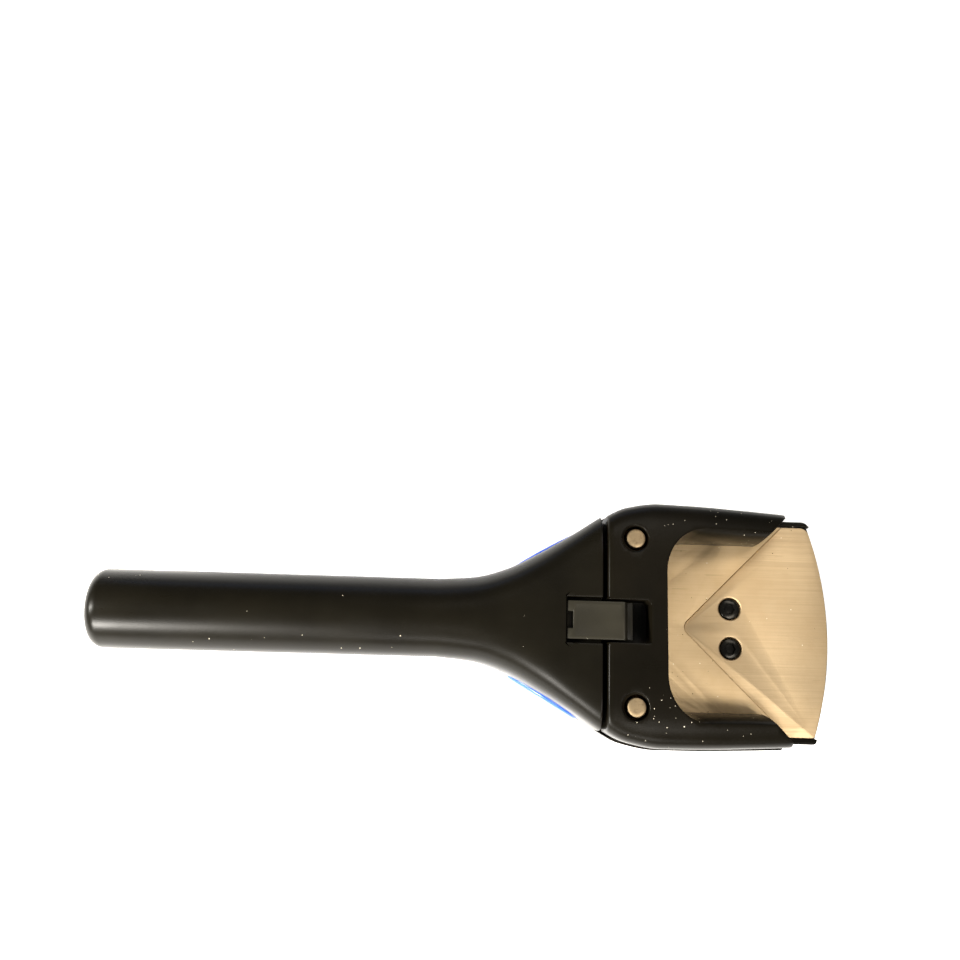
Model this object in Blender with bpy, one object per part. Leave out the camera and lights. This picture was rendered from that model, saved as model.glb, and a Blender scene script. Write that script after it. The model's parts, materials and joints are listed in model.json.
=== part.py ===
"""Hand-held corner rounder for plastic cards and sheets.

A plier-type tool that lies on its belly. The upper handle, the flared housing and the lower jaw are
one rigid casting. The upper jaw slides straight up and down on two guide pins, and is pulled down by
a lever that the lower handle turns about a cross pin in the housing. A latch on the top slides fore
and aft across the gap between the housing and the upper jaw.

Sizes are in millimetres. X is measured from the gap plane, towards the head's front; Y is across the
tool and Z is up from the table. place() turns them into metres in the part's own frame, whose origin
is under the middle of the tool's length.
"""
import math

import bmesh
import bpy
from mathutils import Vector

MM = 0.001
GAP_X = 46.125             # the gap plane's place along X in the part's own frame
FIT = 0.3                  # gap between pieces that touch or are fastened together

# Upper handle, housing and lower jaw
HANDLE_END_X = -176.5
HANDLE_R = 13.75
NECK_R = 13.5
HANDLE_Z = 38.0
END_ROUND = 5.0
GAP_HALF = 0.85            # half the gap between the housing and the upper jaw
HEAD_TOP_Z = 50.0
PARTING_Z = 27.7           # top of the lower jaw's side walls
RIM_Z = 25.7               # top of the rim beside the base plate
RIM_X = 65.0               # where the side walls step down to the rim
DECK_Z = 22.7              # floor that carries the base plate
DECK_HALF = 37.9
DECK_BACK_X = 2.0
FRONT_X = 84.25
FRONT_R = 120.0
RIM_HALF = 39.9            # half width of the lower jaw's front, beyond the arms
SIDE_HALF = 43.4           # where the step to that narrower front begins, just outside the skin
RIM_CORNERS = (1.5, 3.5)   # corner radii of the jaw's front, right and left
PLATE_CORNERS = (1.0, 3.5)

# Driving stations of the outer skin: X, half width, top, bottom, squareness
SKIN = (
    (-57.0, NECK_R, HANDLE_Z + NECK_R, HANDLE_Z - NECK_R, 2.0),
    (-45.0, 14.6, 51.1, 20.0, 2.3),
    (-34.0, 17.9, 50.8, 10.0, 3.0),
    (-22.0, 24.0, 50.4, 2.0, 4.0),
    (-10.0, 31.0, 50.1, -1.0, 5.8),
    (0.0, 37.4, HEAD_TOP_Z, -1.0, 7.0),
    (8.0, 41.3, HEAD_TOP_Z, -1.0, 8.0),
    (20.0, 43.2, HEAD_TOP_Z, -1.0, 8.0),
    (35.0, 43.1, HEAD_TOP_Z, -0.5, 8.0),
    (50.0, 42.6, HEAD_TOP_Z, 4.0, 8.0),
    (76.0, 41.5, HEAD_TOP_Z, 13.5, 8.0),
    (88.0, 41.1, HEAD_TOP_Z, 18.0, 8.0),
)

# Upper jaw: cover, moving blade and what they carry
COVER_INSET = 1.0          # how much narrower the cover is than the housing
COVER_Z = 28.3
COVER_BASE_Z = 2.0         # bottom of the full section that the cover is the upper part of
COVER_SQUARENESS = 9.0
COVER_TOP = ((0.0, 50.0), (10.0, 49.4), (25.0, 47.3), (45.0, 43.8), (70.0, 39.4))
EDGE_BREAK = 0.9           # chamfer round the cover's rear edge
WINDOW_BACK_X = 21.5
WINDOW_HALF = 29.8
WINDOW_FLARE = 5.0         # how much the window opens out towards the top
WINDOW_CORNERS = (9.0, 18.0)   # corner radius at the bottom and at the top
WINDOW_ROUND = 0.35        # share of the wall below the rounded upper edge
WINDOW_LEVELS = (-0.5, 0.0, 0.35, 0.6, 0.78, 0.9, 0.97, 1.0, 1.5)
APEX_X = 30.4              # tip of the fixed blade's right-angled wedge
BLADE_Z = (25.0, 28.0)
BLADE_BACK_X = 4.0
BLADE_HALF = 37.2
PLATE_Z = (23.0, 26.0)
SHEAR_GAP = 0.32           # gap between the two blades' cutting edges
ARM_END_X = 27.0           # where the lines of the arms' slanted ends would meet
ARM_TIP_Y = 39.0           # where the slanted ends turn square
PLATE_HALF = 37.6
WEDGE_TIP_R = 3.0           # round tip that gives the card's corner its radius

# Guide pins, bushings and springs
PIN_X = 10.7
PIN_Y = 28.5
PIN_R = 3.3
PIN_Z = (2.3, 48.2)
SOCKET_FLOOR_Z = 2.0
SPRING_POCKET_R = 7.0
SPRING_Z = (8.0, 24.7)
SPRING_R = 4.9
SPRING_WIRE_R = 0.7
SPRING_TURNS = 6
BUSH_R = 5.7
BUSH_TOP_Z = 38.0
PIN_HOLE_R = 4.3           # clearance hole in the cover's top

# Lower handle, lever and pivot
PIVOT = (-19.0, 20.0)      # X and Z of the pivot axis
PIVOT_R = 4.0
PIVOT_HALF = 18.5
NOSE = (6.0, 17.0)
NOSE_PIN_R = 3.0
NOSE_R = 5.0
LEVER_HALF = 5.0
LEVER_BACK_X = -52.0
SHELL_END_X = -172.0
SHELL_FRONT_X = -14.0
SHELL_LOW_Z = 0.3
CHANNEL_HALF = 11.9
CHANNEL_FRONT_X = -8.5
CHANNEL_ROOF_Z = 30.5
# X, half width, top, bottom
SHELL = (
    (-168.0, 12.2, 18.5, SHELL_LOW_Z),
    (-60.0, 12.1, 18.5, SHELL_LOW_Z),
    (-48.0, 11.4, 19.2, 0.8),
    (-40.0, 11.0, 23.0, 1.0),
    (-32.0, 11.0, 27.4, 1.0),
    (SHELL_FRONT_X, 11.0, 28.0, 1.0),
)
SHELL_SQUARENESS = 3.4
GRIP_START_X = -166.0
GRIP_PITCH = 20.0
GRIP_COUNT = 5
GRIP_DEPTH = 2.0
INLAY_X = (-158.0, -56.0)
INLAY_Z = (6.6, 13.4)
INLAY_Y = (10.9, 12.4)
RIVETS = ((-33.0, 12.5), (-43.0, 12.5))
RIVET_R = 2.0

# Pivot caps: ovals that lie on the housing's slanted sides
CAP_X = -19.0
CAP_Y = 25.5
CAP_ANGLE = math.radians(30.0)
CAP_HALF = (14.8, 10.8)    # half length and half height
CAP_IN = 3.0
CAP_OUT = 1.8

# Chamber, bottom cover and latch
CHAMBER_X = (-3.5, 15.5)
CHAMBER_HALF = 12.5
CHAMBER_TOP_Z = 34.0
YOKE_X = (-1.5, 13.5)
YOKE_Z = (11.5, 24.7)
YOKE_HALF = 11.0
YOKE_GAP_HALF = 5.6
YOKE_BRIDGE_Z = 22.6
BOTTOM_X = (-5.0, 20.0)
BOTTOM_HALF = 24.0
BOTTOM_Z = (0.3, 2.8)
LATCH_X = (-12.9, 7.1)
LATCH_LIP_X = 9.5
LATCH_HALF = 6.4
LATCH_Z = (46.6, 49.6)
LATCH_SLOT_HALF = 7.7
LATCH_FLOOR_Z = 46.3
KEEL_X = (-11.0, -6.5)
KEEL_HALF = 3.0
KEEL_Z = 40.0
RECESS_X = 15.8
RECESS_HALF = 7.3
RECESS_Z = 38.0
RECESS_CHAMFER = 1.3       # slanted corner of the latch recess

# Places of the socket screws, as (X, Y).
PLATE_SCREWS = ((48.25, 7.1), (48.25, -7.1))
BOTTOM_SCREWS = ((-2.0, 19.0), (-2.0, -19.0), (16.5, 18.5), (16.5, -18.5))
BLADE_SCREWS = ((12.0, 17.5), (12.0, -17.5), (45.0, 33.4), (45.0, -33.4))
YOKE_SCREWS = ((10.3, 8.3), (10.3, -8.3))

RING_POINTS = 32
ROUND_STEPS = 20
BIG = 60.0                 # reach of a cutter that passes right through


# ---------------------------------------------------------------- scene helpers

def clear_scene():
    for obj in list(bpy.data.objects):
        bpy.data.objects.remove(obj, do_unlink=True)


def place(x, y, z):
    """Millimetres from the gap plane to metres in the part's own frame."""
    return Vector(((x + GAP_X) * MM, y * MM, z * MM))


def material(name, color, roughness, metallic):
    mat = bpy.data.materials.new(name)
    mat.use_nodes = True
    shader = mat.node_tree.nodes["Principled BSDF"]
    shader.inputs["Base Color"].default_value = (*color, 1.0)
    shader.inputs["Roughness"].default_value = roughness
    shader.inputs["Metallic"].default_value = metallic
    return mat


def link(name, mesh, look=None):
    """Adds an object; one with no look is a cutter, which is drawn as a wire and never rendered."""
    obj = bpy.data.objects.new(name, mesh)
    bpy.context.scene.collection.objects.link(obj)
    if look is None:
        obj.hide_render = True
        obj.display_type = "WIRE"
    else:
        mesh.materials.append(look)
    return obj


def finish_mesh(name, bm, smooth_angle=None):
    bmesh.ops.recalc_face_normals(bm, faces=bm.faces)
    mesh = bpy.data.meshes.new(name)
    bm.to_mesh(mesh)
    bm.free()
    if smooth_angle is not None:
        mesh.shade_smooth()
        mesh.set_sharp_from_angle(angle=math.radians(smooth_angle))
    return mesh


def cut(target, cutter, operation="DIFFERENCE"):
    mod = target.modifiers.new(cutter.name, "BOOLEAN")
    mod.operation = operation
    mod.solver = "EXACT"
    mod.object = cutter


# ---------------------------------------------------------------- shape helpers

def loft(name, rings, look=None, smooth_angle=None, closed=False):
    """Skins equal rings of points. A closed loft joins its last ring to its first, with no caps."""
    bm = bmesh.new()
    loops = [[bm.verts.new(place(*point)) for point in ring] for ring in rings]
    count = len(loops[0])
    pairs = list(zip(loops, loops[1:]))
    if closed:
        pairs.append((loops[-1], loops[0]))
    else:
        bm.faces.new(loops[0])
        bm.faces.new(loops[-1])
    for first, second in pairs:
        for i in range(count):
            j = (i + 1) % count
            bm.faces.new((first[i], first[j], second[j], second[i]))
    return link(name, finish_mesh(name, bm, smooth_angle), look)


def plan_prism(name, outline, low, high, look=None):
    """Extrudes a plan outline of (x, y) points upwards from low to high."""
    return loft(name, [[(x, y, z) for x, y in outline] for z in (low, high)], look)


def side_prism(name, outline, near, far, look=None):
    """Extrudes a side outline of (x, z) points across from near to far."""
    return loft(name, [[(x, y, z) for x, z in outline] for y in (near, far)], look)


def box(name, xs, ys, zs, look=None):
    corners = [(x, y) for x, y in zip((xs[0], xs[1], xs[1], xs[0]), (ys[0], ys[0], ys[1], ys[1]))]
    return plan_prism(name, corners, zs[0], zs[1], look)


def circle(centre, radius, steps=ROUND_STEPS):
    """Points round a circle in a plane, from two coordinates."""
    turns = [math.tau * i / steps for i in range(steps)]
    return [(centre[0] + radius * math.cos(a), centre[1] + radius * math.sin(a)) for a in turns]


def arc(centre, radius, start, end, steps):
    """Points along an arc, from start to end in degrees."""
    turns = [math.radians(start + (end - start) * i / steps) for i in range(steps + 1)]
    return [(centre[0] + radius * math.cos(a), centre[1] + radius * math.sin(a)) for a in turns]


def turned(name, profile, centre, look=None, hollow=False, across=False, steps=ROUND_STEPS):
    """Turns (radius, station) pairs about a vertical axis through (x, y), or with across about a
    cross axis through (x, z). A hollow profile is a closed loop round the wall."""
    rings = []
    for radius, station in profile:
        ring = circle(centre, radius, steps)
        rings.append([(u, station, v) if across else (u, v, station) for u, v in ring])
    return loft(name, rings, look, 40, closed=hollow)


def steady(table, x, column):
    """A smooth curve through a table's points, flat beyond its ends and with no overshoot."""
    xs = [row[0] for row in table]
    ys = [row[column] for row in table]
    if x <= xs[0]:
        return ys[0]
    if x >= xs[-1]:
        return ys[-1]
    i = max(k for k in range(len(xs) - 1) if xs[k] <= x)
    steps = [(ys[k + 1] - ys[k]) / (xs[k + 1] - xs[k]) for k in range(len(xs) - 1)]

    def slope(k):
        if k in (0, len(xs) - 1):
            return steps[min(k, len(steps) - 1)]
        before, after = steps[k - 1], steps[k]
        return 0.0 if before * after <= 0 else 2.0 * before * after / (before + after)

    width = xs[i + 1] - xs[i]
    t = (x - xs[i]) / width
    return ((2 * t**3 - 3 * t**2 + 1) * ys[i] + (t**3 - 2 * t**2 + t) * width * slope(i)
            + (3 * t**2 - 2 * t**3) * ys[i + 1] + (t**3 - t**2) * width * slope(i + 1))


def squircle(x, half_width, top, bottom, square, points=RING_POINTS):
    """One section of the skin: a circle at squareness 2, nearly a rounded box at 6."""
    middle = (top + bottom) / 2
    half_height = (top - bottom) / 2
    ring = []
    for i in range(points):
        a = math.tau * (i + 0.5) / points
        c, s = math.cos(a), math.sin(a)
        y = half_width * math.copysign(abs(c) ** (2 / square), c)
        z = middle + half_height * math.copysign(abs(s) ** (2 / square), s)
        ring.append((x, y, z))
    return ring


def spaced(start, end, step):
    """Even stations from start to end, no further apart than step."""
    count = max(1, math.ceil((end - start) / step))
    return [start + (end - start) * i / count for i in range(count + 1)]


# ---------------------------------------------------------------- the housing and lower jaw

def body_half_width(x):
    return steady(SKIN, x, 1)


def body_ring(x):
    """The outer skin's section at x: the round handle, then the flare and the head."""
    neck = SKIN[0][0]
    if x < neck:
        radius = NECK_R + (HANDLE_R - NECK_R) * (neck - x) / (neck - HANDLE_END_X)
        inward = x - (HANDLE_END_X + END_ROUND)
        if inward < 0:
            radius -= END_ROUND - math.sqrt(max(0.0, END_ROUND**2 - inward**2))
        return squircle(x, radius, HANDLE_Z + radius, HANDLE_Z - radius, 2.0)
    return squircle(x, *(steady(SKIN, x, column) for column in (1, 2, 3, 4)))


def body_stations():
    end_arc = [HANDLE_END_X + END_ROUND * (1 - math.cos(math.radians(a))) for a in (0, 25, 45, 65, 90)]
    handle = spaced(HANDLE_END_X + END_ROUND, SKIN[0][0], 30.0)
    flare = spaced(SKIN[0][0], 12.0, 4.0)
    head = spaced(12.0, SKIN[-1][0], 13.0)
    return end_arc + handle[1:] + flare[1:] + head[1:]


def front_edge(front_x, half, corners):
    """The head's bowed front edge from -half to half across, running into its sides with round corners."""
    centre_x = front_x - FRONT_R
    places = []
    for radius in corners:
        reach = math.sqrt((FRONT_R - radius) ** 2 - (half - radius) ** 2)
        turn = math.degrees(math.atan2(half - radius, reach))
        places.append((centre_x + reach, half - radius, turn))
    right, left = places
    edge = arc((right[0], -right[1]), corners[0], -90.0, -right[2], 4)
    edge += arc((centre_x, 0.0), FRONT_R, -right[2], left[2], 12)[1:-1]
    edge += arc((left[0], left[1]), corners[1], left[2], 90.0, 4)
    return edge


def cap_frame(side):
    """Centre, direction along and direction out of the oval pad on one side of the housing."""
    centre = Vector((CAP_X, side * CAP_Y, PIVOT[1]))
    along = Vector((math.cos(CAP_ANGLE), side * math.sin(CAP_ANGLE), 0.0))
    out = Vector((-math.sin(CAP_ANGLE), side * math.cos(CAP_ANGLE), 0.0))
    return centre, along, out


def oval(name, side, layers, look=None):
    """Stacked ovals on the housing's side: each layer is how far out it lies and how much it shrinks."""
    centre, along, out = cap_frame(side)
    rings = []
    for depth, inset in layers:
        ring = []
        for i in range(ROUND_STEPS):
            a = math.tau * i / ROUND_STEPS
            u = (CAP_HALF[0] - inset) * math.cos(a)
            v = (CAP_HALF[1] - inset) * math.sin(a)
            ring.append(tuple(centre + along * u + out * depth + Vector((0.0, 0.0, v))))
        rings.append(ring)
    return loft(name, rings, look, 40)


def make_main_body(look):
    body = loft("main_body", [body_ring(x) for x in body_stations()], look, 35)
    cut(body, box("belly_plane", (-BIG * 4, BIG * 3), (-BIG, BIG), (-20.0, 0.0)))
    cut(body, box("jaw_space", (-GAP_HALF, 100.0), (-BIG, BIG), (PARTING_Z, 70.0)))
    edge = front_edge(FRONT_X, RIM_HALF, RIM_CORNERS)
    trim = [(RIM_X - 1.5, -BIG), (RIM_X - 1.5, -SIDE_HALF), (RIM_X + 2.0, -RIM_HALF)] + edge
    trim += [(RIM_X + 2.0, RIM_HALF), (RIM_X - 1.5, SIDE_HALF), (RIM_X - 1.5, BIG)]
    trim += [(120.0, BIG), (120.0, -BIG)]
    cut(body, plan_prism("front_trim", trim, -30.0, 70.0))
    deck = ((DECK_BACK_X, 100.0), (-DECK_HALF, DECK_HALF), (DECK_Z, 40.0))
    cut(body, box("deck_recess", *deck))
    cut(body, box("rim_step", (RIM_X, 110.0), (-BIG, BIG), (RIM_Z, 40.0)))
    chamber_half = (-CHAMBER_HALF, CHAMBER_HALF)
    cut(body, box("chamber", CHAMBER_X, chamber_half, (BOTTOM_Z[1], CHAMBER_TOP_Z)))
    lever_half = LEVER_HALF + 1.3
    cut(body, box("lever_pass", (CHANNEL_FRONT_X - 1, CHAMBER_X[0] + 1), (-lever_half, lever_half),
                  (11.0, CHAMBER_TOP_Z)))
    channel = [(-90.0, -5.0), (CHANNEL_FRONT_X, -5.0), (CHANNEL_FRONT_X, CHANNEL_ROOF_Z),
               (-34.0, CHANNEL_ROOF_Z), (-56.0, 20.5), (-90.0, 20.5)]
    cut(body, side_prism("handle_channel", channel, -CHANNEL_HALF, CHANNEL_HALF))
    cut(body, box("latch_slot", (LATCH_X[0] - FIT, 0.0), (-LATCH_SLOT_HALF, LATCH_SLOT_HALF),
                  (LATCH_FLOOR_Z, 60.0)))
    keel_half = KEEL_HALF + FIT
    cut(body, box("keel_slot", (KEEL_X[0] - FIT, 0.0), (-keel_half, keel_half), (KEEL_Z - 0.5, 50.0)))
    cut(body, turned("pivot_bore", [(PIVOT_R + FIT, -BIG), (PIVOT_R + FIT, BIG)], PIVOT, across=True))
    for side in (-1, 1):
        tag = "left" if side > 0 else "right"
        cut(body, oval("cap_pocket_" + tag, side, [(-CAP_IN - FIT, -FIT), (12.0, -FIT)]))
        pin = (PIN_X, side * PIN_Y)
        cut(body, turned("pin_socket_" + tag, [(PIN_R + FIT, SOCKET_FLOOR_Z), (PIN_R + FIT, 12.0)], pin))
        pocket = [(SPRING_POCKET_R, SPRING_Z[0] - FIT), (SPRING_POCKET_R, 40.0)]
        cut(body, turned("spring_pocket_" + tag, pocket, pin))
    recess_x = (BOTTOM_X[0] - FIT, BOTTOM_X[1] + FIT)
    recess_half = BOTTOM_HALF + FIT
    cut(body, box("bottom_recess", recess_x, (-recess_half, recess_half), (-20.0, BOTTOM_Z[1] + FIT)))
    for number, spot in enumerate(BOTTOM_SCREWS, 1):
        cut(body, turned("bottom_tap_%d" % number, [(1.8, 0.0), (1.8, 12.5)], spot))
    for number, spot in enumerate(PLATE_SCREWS, 1):
        cut(body, turned("plate_tap_%d" % number, [(2.3, 13.5), (2.3, 30.0)], spot))
    return body


# ---------------------------------------------------------------- plates, pins, screws, springs

def wedge_tip(apex):
    """The round tip of a right-angled wedge whose sharp corner would be at apex."""
    centre = (apex + WEDGE_TIP_R * math.sqrt(2.0), 0.0)
    return arc(centre, WEDGE_TIP_R, 225.0, 135.0, 6)


def make_base_plate(look):
    """The fixed lower blade: a right-angled wedge with a small round tip that points to the rear."""
    outline = wedge_tip(APEX_X) + [(APEX_X + PLATE_HALF, PLATE_HALF)]
    outline += list(reversed(front_edge(FRONT_X - 0.6, PLATE_HALF, PLATE_CORNERS)))
    outline += [(APEX_X + PLATE_HALF, -PLATE_HALF)]
    plate = plan_prism("base_plate", outline, *PLATE_Z, look)
    for number, spot in enumerate(PLATE_SCREWS, 1):
        cut(plate, turned("plate_counterbore_%d" % number, [(4.0, 23.9), (4.0, 40.0)], spot))
        cut(plate, turned("plate_hole_%d" % number, [(2.4, 10.0), (2.4, 24.5)], spot))
    return plate


def make_upper_blade(look):
    """The moving blade: its V notch meets the base plate's wedge, a hair's breadth behind it."""
    apex = APEX_X - SHEAR_GAP * math.sqrt(2.0)
    outline = [(BLADE_BACK_X, -BLADE_HALF), (apex + BLADE_HALF, -BLADE_HALF)] + wedge_tip(apex)
    outline += [(apex + BLADE_HALF, BLADE_HALF), (BLADE_BACK_X, BLADE_HALF)]
    blade = plan_prism("upper_blade", outline, *BLADE_Z, look)
    for side in (-1, 1):
        hole = [(PIN_R + 0.4, 20.0), (PIN_R + 0.4, 40.0)]
        cut(blade, turned("blade_pin_hole_%d" % side, hole, (PIN_X, side * PIN_Y)))
    for number, spot in enumerate(BLADE_SCREWS, 1):
        cut(blade, turned("blade_hole_%d" % number, [(1.9, 20.0), (1.9, 40.0)], spot))
        cut(blade, turned("blade_counterbore_%d" % number, [(3.3, 20.0), (3.3, 26.9)], spot))
    for number, spot in enumerate(YOKE_SCREWS, 1):
        cut(blade, turned("yoke_hole_%d" % number, [(1.8, 20.0), (1.8, 40.0)], spot))
        cut(blade, turned("yoke_counterbore_%d" % number, [(3.1, 26.1), (3.1, 40.0)], spot))
    return blade


def make_screw(name, spot, head_z, under_z, tip_z, radii, look):
    """A socket screw; head_z is the face with the hexagon, under_z is where the shank begins."""
    head_r, shank_r, socket_r = radii
    up = 1.0 if head_z > under_z else -1.0
    profile = [(shank_r * 0.8, tip_z), (shank_r, tip_z + 0.4 * up), (shank_r, under_z),
               (head_r, under_z), (head_r, head_z - 0.2 * up), (head_r - 0.2, head_z)]
    screw = turned(name, profile, spot, look, steps=12)
    depth = 0.6 * abs(head_z - under_z)
    low, high = sorted((head_z - depth * up, head_z + 2.0 * up))
    cut(screw, plan_prism(name + "_hexagon", circle(spot, socket_r, 6), low, high))
    return screw


def make_guide_pin(name, side, look):
    profile = [(PIN_R - 0.5, PIN_Z[0]), (PIN_R, PIN_Z[0] + 0.5),
               (PIN_R, PIN_Z[1] - 0.5), (PIN_R - 0.5, PIN_Z[1])]
    return turned(name, profile, (PIN_X, side * PIN_Y), look)


def make_bushing(name, side, look):
    inner = PIN_R + FIT
    profile = [(BUSH_R, COVER_Z), (BUSH_R, BUSH_TOP_Z), (inner, BUSH_TOP_Z), (inner, COVER_Z)]
    return turned(name, profile, (PIN_X, side * PIN_Y), look, hollow=True)


def make_spring(name, side, look):
    """A compression spring round a guide pin, with its two end turns nearly closed."""
    low = SPRING_Z[0] + SPRING_WIRE_R
    high = SPRING_Z[1] - SPRING_WIRE_R
    end_rise = 2 * SPRING_WIRE_R + 0.15
    open_pitch = (high - low - 2 * end_rise) / (SPRING_TURNS - 2)
    count = SPRING_TURNS * 12
    rings = []
    for i in range(count + 1):
        turn = SPRING_TURNS * i / count
        open_turns = min(max(turn - 1, 0), SPRING_TURNS - 2)
        z = low + (turn - open_turns) * end_rise + open_turns * open_pitch
        a = math.tau * turn
        ring = []
        for j in range(5):
            b = math.tau * j / 5
            r = SPRING_R + SPRING_WIRE_R * math.cos(b)
            ring.append((PIN_X + r * math.cos(a), side * PIN_Y + r * math.sin(a),
                         z + SPRING_WIRE_R * math.sin(b)))
        rings.append(ring)
    return loft(name, rings, look, 60)


# ---------------------------------------------------------------- upper jaw

def cover_ring(x):
    """The cover's outer section at x, narrower than the housing by the inset."""
    half = body_half_width(x) - COVER_INSET
    return squircle(x, half, steady(COVER_TOP, x, 1), COVER_BASE_Z, COVER_SQUARENESS)


def window_ring(share):
    """The U window's plan at a share of the wall's height; its upper edge rounds over into the top."""
    rounding = min(1.0, max(0.0, (share - WINDOW_ROUND) / (1.0 - WINDOW_ROUND)))
    flare = WINDOW_FLARE * (1 - math.sqrt(1 - rounding**2))
    half = WINDOW_HALF + flare
    back = WINDOW_BACK_X
    r = WINDOW_CORNERS[0] + (WINDOW_CORNERS[1] - WINDOW_CORNERS[0]) * flare / WINDOW_FLARE
    corner_low = arc((back + r, -half + r), r, 270.0, 180.0, 6)
    corner_high = arc((back + r, half - r), r, 180.0, 90.0, 6)
    plan = [(100.0, -half)] + corner_low + corner_high + [(100.0, half)]
    ring = []
    for x, y in plan:
        top = steady(COVER_TOP, x, 1) + 0.2
        ring.append((x, y, COVER_Z + (top - COVER_Z) * share))
    return ring


def make_jaw_cover(look):
    start = GAP_HALF + EDGE_BREAK
    stations = spaced(start, 12.0, 3.6) + spaced(12.0, 72.0, 10.0)[1:]
    narrowed = 1 - EDGE_BREAK / PLATE_HALF
    broken = []
    for _, y, z in cover_ring(start):
        broken.append((GAP_HALF, y * narrowed, z - EDGE_BREAK * (z > 40.0)))
    cover = loft("jaw_cover", [broken] + [cover_ring(x) for x in stations], look, 35)
    cut(cover, box("cover_underside", (-10.0, 100.0), (-BIG, BIG), (-30.0, COVER_Z)))
    cut(cover, loft("window", [window_ring(share) for share in WINDOW_LEVELS]))
    tip_x = ARM_END_X + ARM_TIP_Y
    ends = [(ARM_END_X, 0.0), (tip_x, -ARM_TIP_Y), (tip_x, -BIG), (140.0, -BIG), (140.0, BIG),
            (tip_x, BIG), (tip_x, ARM_TIP_Y)]
    cut(cover, plan_prism("arm_ends", ends, 10.0, 60.0))
    recess = [(-5.0, -RECESS_HALF), (RECESS_X, -RECESS_HALF), (RECESS_X, RECESS_HALF - RECESS_CHAMFER),
              (RECESS_X - RECESS_CHAMFER, RECESS_HALF), (-5.0, RECESS_HALF)]
    cut(cover, plan_prism("latch_recess", recess, RECESS_Z, 60.0))
    for side in (-1, 1):
        spot = (PIN_X, side * PIN_Y)
        bore = [(BUSH_R + FIT, 20.0), (BUSH_R + FIT, BUSH_TOP_Z + FIT)]
        cut(cover, turned("bush_bore_%d" % side, bore, spot))
        cut(cover, turned("cover_pin_hole_%d" % side, [(PIN_HOLE_R, BUSH_TOP_Z), (PIN_HOLE_R, 60.0)], spot))
    for number, spot in enumerate(BLADE_SCREWS, 1):
        cut(cover, turned("cover_tap_%d" % number, [(1.9, 20.0), (1.9, 35.3)], spot))
    return cover


def make_yoke(look):
    """The steel stirrup under the moving blade; the lever's nose pin lies in its cross slot."""
    yoke = box("pull_yoke", YOKE_X, (-YOKE_HALF, YOKE_HALF), YOKE_Z, look)
    cut(yoke, box("yoke_fork", (-20.0, 40.0), (-YOKE_GAP_HALF, YOKE_GAP_HALF), (0.0, YOKE_BRIDGE_Z)))
    slack = NOSE_PIN_R + FIT
    cut(yoke, box("yoke_slot", (NOSE[0] - slack - 0.6, NOSE[0] + slack + 0.6), (-BIG, BIG),
                  (NOSE[1] - slack, NOSE[1] + slack)))
    for number, spot in enumerate(YOKE_SCREWS, 1):
        cut(yoke, turned("yoke_tap_%d" % number, [(1.8, 21.9), (1.8, 40.0)], spot))
    return yoke


# ---------------------------------------------------------------- lower handle

def shell_ring(x):
    """The lower handle's section at x, with the finger grips as a wave along its underside."""
    half, top, bottom = (steady(SHELL, x, column) for column in (1, 2, 3))
    along = (x - GRIP_START_X) / GRIP_PITCH
    if 0.0 < along < GRIP_COUNT:
        bottom += GRIP_DEPTH * (1 - math.cos(math.tau * along)) / 2
    inward = x - (SHELL_END_X + END_ROUND)
    if inward < 0:
        shrink = END_ROUND - math.sqrt(max(0.0, END_ROUND**2 - inward**2))
        half -= shrink
        top -= shrink
        bottom += shrink
    return squircle(x, half, top, bottom, SHELL_SQUARENESS, 24)


def inlay_outline(grow):
    """A long strip with round ends, in side view."""
    low, high = INLAY_Z[0] - grow, INLAY_Z[1] + grow
    radius = (high - low) / 2
    middle = (high + low) / 2
    rear = arc((INLAY_X[0] + radius - grow, middle), radius, 270.0, 90.0, 8)
    front = arc((INLAY_X[1] - radius + grow, middle), radius, 90.0, -90.0, 8)
    return rear + front


def make_handle_shell(look):
    end_arc = [SHELL_END_X + END_ROUND * (1 - math.cos(math.radians(a))) for a in (0, 30, 60, 90)]
    grips = spaced(SHELL_END_X + END_ROUND, -62.0, 6.7)
    front = spaced(-62.0, SHELL_FRONT_X, 6.0)
    stations = end_arc + grips[1:] + front[1:]
    shell = loft("lower_handle_shell", [shell_ring(x) for x in stations], look, 35)
    slot_half = LEVER_HALF + FIT
    cut(shell, box("lever_slot", (LEVER_BACK_X - FIT, 0.0), (-slot_half, slot_half), (7.7, 60.0)))
    cut(shell, turned("shell_bore", [(PIVOT_R + FIT, -BIG), (PIVOT_R + FIT, BIG)], PIVOT, across=True))
    for number, spot in enumerate(RIVETS, 1):
        bore = [(RIVET_R + FIT, -BIG), (RIVET_R + FIT, BIG)]
        cut(shell, turned("shell_rivet_hole_%d" % number, bore, spot, across=True))
    for side in (-1, 1):
        near, far = sorted((side * (INLAY_Y[0] - FIT), side * 30.0))
        cut(shell, side_prism("inlay_pocket_%d" % side, inlay_outline(FIT), near, far))
    return shell


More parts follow.
